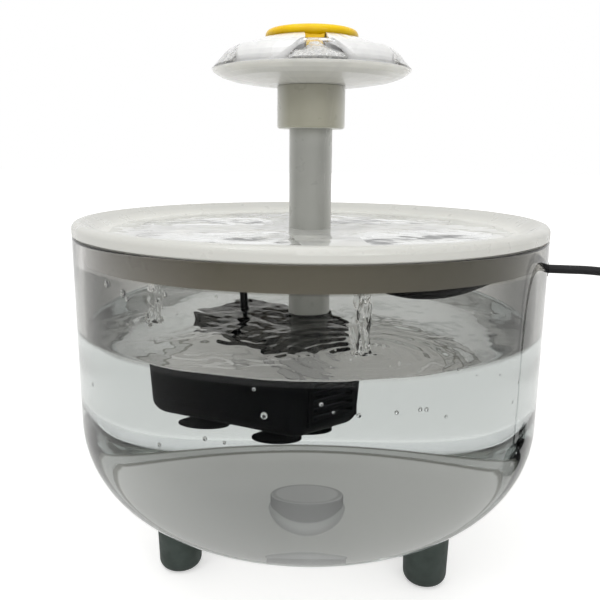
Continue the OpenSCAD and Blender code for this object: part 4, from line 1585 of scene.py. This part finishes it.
    def stream(self, name: str, at: Pair, stout: float, seed: int) -> Piece:
        """Make one twisting strand of water that falls from a drain hole.

        Args:
            name: Name of the strand.
            at: Middle of the strand.
            stout: Half its greatest width.
            seed: Seed of its shape.

        Returns:
            The strand.
        """
        phases = np.random.default_rng(seed).uniform(0, TURN, 8)
        top, foot, steps, sides = 138.6, WATER_Z - 0.4, 150, 40
        t = np.linspace(0, 1, steps)[:, None]
        spin = phases[0] + t * 7.0
        wide = 1.0 - 0.42 * t + 0.2 * np.sin(12 * t + phases[1]) + 0.09 * np.sin(33 * t + phases[2])
        thin = 0.6 - 0.2 * t + 0.16 * np.sin(15 * t + phases[3]) + 0.08 * np.sin(41 * t + phases[4])
        flare = 0.9 * stout * np.exp(-((1 - t) * 34) / 1.6)
        wide = np.clip(wide, 0.34, 1.1) * stout + flare
        thin = np.clip(thin, 0.24, 1.0) * stout + flare
        sway = 0.3 * stout * np.sin(8 * t + phases[5]) * (0.3 + 0.7 * t)
        side = 0.3 * stout * np.sin(7 * t + phases[6])
        a = circle(sides)
        pinch = 1 + 0.2 * np.cos(3 * a + 7 * t) + 0.07 * np.cos(5 * a - 19 * t)
        u, v = wide * np.cos(a) * pinch, thin * np.sin(a) * pinch
        rings = np.zeros((steps, sides, 3))
        rings[:, :, 0] = at[0] + sway + u * np.cos(spin) - v * np.sin(spin)
        rings[:, :, 1] = at[1] + side + u * np.sin(spin) + v * np.cos(spin)
        rings[:, :, 2] = top + (foot - top) * t
        return put_on(skinned(name, rings), self.finish["running_water"])

    def beads(
        self, tree: ShapeTree, name: str, zone: Pair, density: float, size: Pair, seed: int
    ) -> Piece:
        """Scatter beads over a zone of the wall's inner face.

        Args:
            tree: The scattering tree.
            name: Name of the piece.
            zone: Lowest and highest bead.
            density: Beads per square metre.
            size: Smallest and largest radius.
            seed: Seed of the scatter.

        Returns:
            The beads.
        """
        a = np.append(circle(96), TURN)
        ring = [self.inner * np.cos(a), self.inner * np.sin(a)]
        verts = np.vstack([np.column_stack([*ring, np.full(97, z)]) for z in zone])
        patch = raw_mesh(name, verts, [], [(k + 1, k, k + 97, k + 98) for k in range(96)])
        least, most = size[0] * MM, size[1] * MM
        mat = self.finish["running_water"]
        return tree.run(patch, Density=density, Least=least, Most=most, Seed=seed, Finish=mat)

    def placed_drops(self, studio: Studio) -> Piece:
        """Make the larger drops and bubbles that cling to the front of the wall.

        Args:
            studio: The camera by which they are placed.

        Returns:
            The drops.
        """
        drops: list[tuple[Vector, float, Matrix]] = []
        for x, y, size in self.spots:
            dry = y < self.above_y
            middle = studio.on_wall(
                x, y, self.radius + size * 0.2 if dry else self.inner - size * 0.4
            )
            out = Vector((middle.x, middle.y, 0.0)).normalized()
            turn = out.to_track_quat("X", "Z").to_matrix()
            drops.append((middle, size, turn @ Matrix.Diagonal((0.6, 0.95, 1.05))))
        return put_on(balls("placed_drops", drops, 3), self.finish["running_water"])

    def surface_bubbles(self) -> Piece:
        """Make the bubbles that float where the strands of water land."""
        dice = np.random.default_rng(16)
        bubbles: list[tuple[Vector, float, Matrix]] = []
        for x, y in [drain for drain in self.drains for _ in range(self.floating)]:
            away, turn = 3.0 + 15.0 * dice.random() ** 1.5, dice.uniform(0, TURN)
            size = dice.uniform(0.35, 0.8)
            x, y = x + away * math.cos(turn), y + away * math.sin(turn)
            if math.hypot(x, y) <= self.inner - 4:
                bubbles.append((Vector((x, y, WATER_Z + 0.5)), size, Matrix.Identity(3)))
        return put_on(balls("floating_bubbles", bubbles, 2), self.finish["aerated_water"])

    def build(self, studio: Studio) -> None:
        """Make the tank and its water.

        Args:
            studio: Camera by which the larger drops are placed.
        """
        bowl = self.shell()
        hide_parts("tank_bowl")
        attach(bowl, Body.TANK.value)
        report(bowl, "with its cable slot")
        self.dress(foot_silicone="foot_front_left foot_front_right foot_rear")
        tree = bead_tree()
        self.add_water(
            Body.TANK,
            "rides on the tank",
            self.water(),
            self.beads(tree, "wall_drops", (107.5, 130.0), 380, (0.35, 1.15), 4),
            self.beads(tree, "wall_bubbles", (56.0, 103.0), 420, (0.25, 0.85), 9),
            self.placed_drops(studio),
            self.surface_bubbles(),
        )
        for name, drain, (dx, dy), stout, seed in self.strands:
            x, y = self.drains[drain][0] + dx, self.drains[drain][1] + dy
            strand = self.stream(name, (x, y), stout, seed)
            self.add_water(Body.TANK, "falls from a drain hole", strand)
            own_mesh(strand)


@dataclass
class DrinkingTray(Assembly):
    """The tray, the silicone grommet in its hub and the film of water on it.

    Attributes:
        film_in: Inner radius of the film.
        film_out: Outer radius of the film.
        film_under: Height of its underside, inside the tray's plastic.
        rings_r: Distance from the axis at which the rings of waves start.
        rings_at: Degrees at which they do.
    """

    film_in: float = 8.9
    film_out: float = 84.0
    film_under: float = 138.56
    rings_r: float = 41.0
    rings_at: tuple[float, ...] = (-82.0, -20.0, 35.0, 98.0, 150.0, 205.0, 240.0)

    def film(self) -> Piece:
        """Make the water that lies in the tray."""
        dice = np.random.default_rng(21)
        waves: list[RingWave | Chop] = []
        for a in np.radians(self.rings_at):
            shape = [dice.uniform(*span) for span in ((0.14, 0.24), (9, 15), (12, 20), (0, 6))]
            waves.append(RingWave(self.rings_r * math.cos(a), self.rings_r * math.sin(a), *shape))
        waves += [Chop(11, 12, 14.0, 42.0, 0.22), Chop(3, 10, 5.0, 9.0, 0.04)]
        inner, outer, under = self.film_in, self.film_out, self.film_under
        top = [(v, FILM_Z) for v in np.linspace(outer, inner, 130)]
        lift = Ruffled(waves, FILM_Z, outer + 2, 10.0, 0.3)
        film = turned("tray_water", [(inner, under), (outer, under), *top], 360, lift=lift)
        return put_on(film, self.finish["still_water"])

    def build(self) -> None:
        """Dress the tray and make its water."""
        self.dress(
            tray_plastic="drinking_tray", white_silicone="riser_grommet", white_plastic="lead_clip"
        )
        self.add_water(Body.TRAY, "lies in the tray", self.film())


@dataclass
class Riser(Assembly):
    """The riser tube and the water that runs down it.

    Attributes:
        trail: The running water.
    """

    trail: Trail = Trail("tube_trail", 8.75, (140.8, 180.8), 3)

    def build(self) -> None:
        """Dress the tube and make the trail of water."""
        self.dress(tube_plastic="riser_tube")
        run = put_on(self.trail.make(), self.finish["running_water"])
        self.add_water(Body.RISER, "runs down the tube", run)


@dataclass
class Flower(Assembly):
    """The flower: collar, clear dish, retainer, petals, yellow centre and the water over it.

    Attributes:
        sheet: Cross section of the sheet of water from the petals' ends to the dish's rim.
        gush: Distance from the axis, height, width and thickness along the water of one channel.
        fan: The same for the white, aerated water under it.
        pool: Cross section of the aerated water in the dish.
        channels: Number of channels.
        first: Degrees at which the front channel lies.
        trail: The water that runs down the collar.
    """

    sheet: tuple[Pair, ...] = (
        (29.6, 211.5), (31.6, 211.2), (33.6, 209.9), (35.3, 208.2), (36.8, 206.4), (38.2, 204.8),
        (39.3, 203.9), (39.75, 203.2), (39.4, 202.8), (38.4, 202.7), (36.4, 201.8), (35.4, 202.6),
        (34.9, 205.0), (33.4, 207.4), (31.4, 209.4), (29.6, 210.4),
    )  # fmt: skip
    gush: tuple[tuple[float, ...], ...] = (
        (20.6, 210.4, 3.2, 1.6), (21.6, 210.0, 4.6, 3.2), (23.2, 208.8, 5.8, 4.6),
        (25.4, 207.6, 7.0, 5.2), (28.2, 206.6, 8.4, 4.8), (31.4, 205.8, 9.6, 4.3),
        (34.6, 205.0, 10.4, 3.6), (37.4, 204.3, 10.4, 2.0),
    )  # fmt: skip
    fan: tuple[tuple[float, ...], ...] = (
        (15.0, 208.5, 4.1, 4.1), (19.6, 208.5, 4.1, 4.1), (21.2, 208.2, 5.2, 4.4),
        (22.8, 207.4, 7.4, 5.2), (25.0, 206.4, 10.4, 5.6), (28.0, 205.6, 13.6, 5.2),
        (31.4, 205.0, 16.4, 4.4), (34.6, 204.4, 18.4, 3.2), (37.4, 203.8, 18.8, 1.4),
    )  # fmt: skip
    pool: tuple[Pair, ...] = (
        (20.7, 199.0), (20.7, 206.6), (22.5, 206.9), (25.5, 206.5), (28.5, 205.8), (31.5, 205.0),
        (34.0, 204.0), (34.9, 203.2), (34.9, 201.9), (32.9, 200.9), (25.8, 199.6),
    )  # fmt: skip
    channels: int = 5
    first: float = -82.0
    trail: Trail = Trail("collar_trail", 13.65, (181.6, 197.2), 7)

    def folds(self, r: np.ndarray, a: np.ndarray, z: np.ndarray) -> np.ndarray:
        """Return the small folds of the sheet, which run outwards.

        Args:
            r: Distance of each point from the axis.
            a: Angle of each point.
            z: Height of each point.

        Returns:
            The changes of height.
        """
        folds = np.sin(23 * a + 1.3 * np.sin(7 * a)) + 0.7 * np.sin(41 * a + 2 * np.sin(5 * a + 1))
        free = np.clip((r - 30.0) / 3.0, 0.0, 1.0) * np.clip((39.6 - r) / 1.5, 0.0, 1.0)
        return 0.16 * folds * free * (z > 203.4)

    def channel(self, name: str, route: Sequence[Sequence[float]]) -> Piece:
        """Make the water of one channel.

        Args:
            name: Name of the piece.
            route: Distance from the axis, height, width and thickness along the channel.

        Returns:
            The water.
        """
        line = smooth_line(route, 0.5)
        slope = np.gradient(line[:, :2], axis=0)
        slope /= np.linalg.norm(slope, axis=1)[:, None]
        a = circle(28)
        t = np.linspace(0, 1, len(line))[:, None]
        rough = 1 + 0.07 * np.sin(5 * a + 17 * t) + 0.05 * np.sin(9 * a - 31 * t)
        up = line[:, 3, None] / 2 * np.sin(a) * rough
        rings = np.zeros((len(line), len(a), 3))
        rings[:, :, 0] = line[:, 0, None] - up * slope[:, 1, None]
        rings[:, :, 1] = line[:, 2, None] / 2 * np.cos(a) * rough
        rings[:, :, 2] = line[:, 1, None] + up * slope[:, 0, None]
        return skinned(name, rings)

    def build(self) -> None:
        """Dress the flower and make the water that runs over it."""
        self.dress(
            milky_plastic="flower_collar",
            white_plastic="dish_retainer",
            petal_plastic="petal_cap",
            clear_dish="flower_dish",
            yellow_plastic="flower_nozzle",
        )
        clear, foam = self.finish["running_water"], self.finish["aerated_water"]
        section = smooth_line(self.sheet, 0.5)
        tree = ring_tree()
        spread = {"Count": self.channels, "Start": math.radians(self.first)}
        self.add_water(
            Body.FLOWER,
            "runs over the flower",
            put_on(turned("flower_sheet", section, 360, lift=self.folds), clear),
            put_on(turned("flower_pool", self.pool, 144, 70), foam),
            tree.run(self.channel("flower_gush", self.gush), **spread, Finish=clear),
            tree.run(self.channel("flower_foam", self.fan), **spread, Finish=foam),
            put_on(self.trail.make(), clear),
        )


@dataclass
class Pump(Assembly):
    """The submersible pump."""

    def build(self) -> None:
        """Dress the pump with all its parts."""
        self.dress(
            black_plastic="pump_housing pump_base intake_cover volute_cover",
            black_rubber="cable_gland rear_bush front_bush "
            "suction_cup_1 suction_cup_2 suction_cup_3 suction_cup_4",
            steel_laminations="stator_core",
            copper_wire="stator_coil",
            circuit_board="driver_board",
            potting_resin="potting_resin",
            ceramic="motor_shaft",
            sponge="intake_sponge",
            impeller_plastic="impeller",
            ferrite="rotor_magnet",
        )
        report(self.nodes["pump_housing"], "dressed with all its parts")


def main() -> None:
    """Build the fountain on the frame."""
    logging.basicConfig(level=logging.INFO, format="%(name)s %(message)s", stream=sys.stdout)
    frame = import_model()
    nodes = frame["nodes"]
    studio = Studio()
    studio.camera()
    finish = {look.slot: look.material() for look in FINISHES}
    PowerLead(nodes, finish).build()
    Tank(nodes, finish).build(studio)
    DrinkingTray(nodes, finish).build()
    Riser(nodes, finish).build()
    Flower(nodes, finish).build()
    Pump(nodes, finish).build()
    studio.build()


if __name__ == "__main__":
    main()
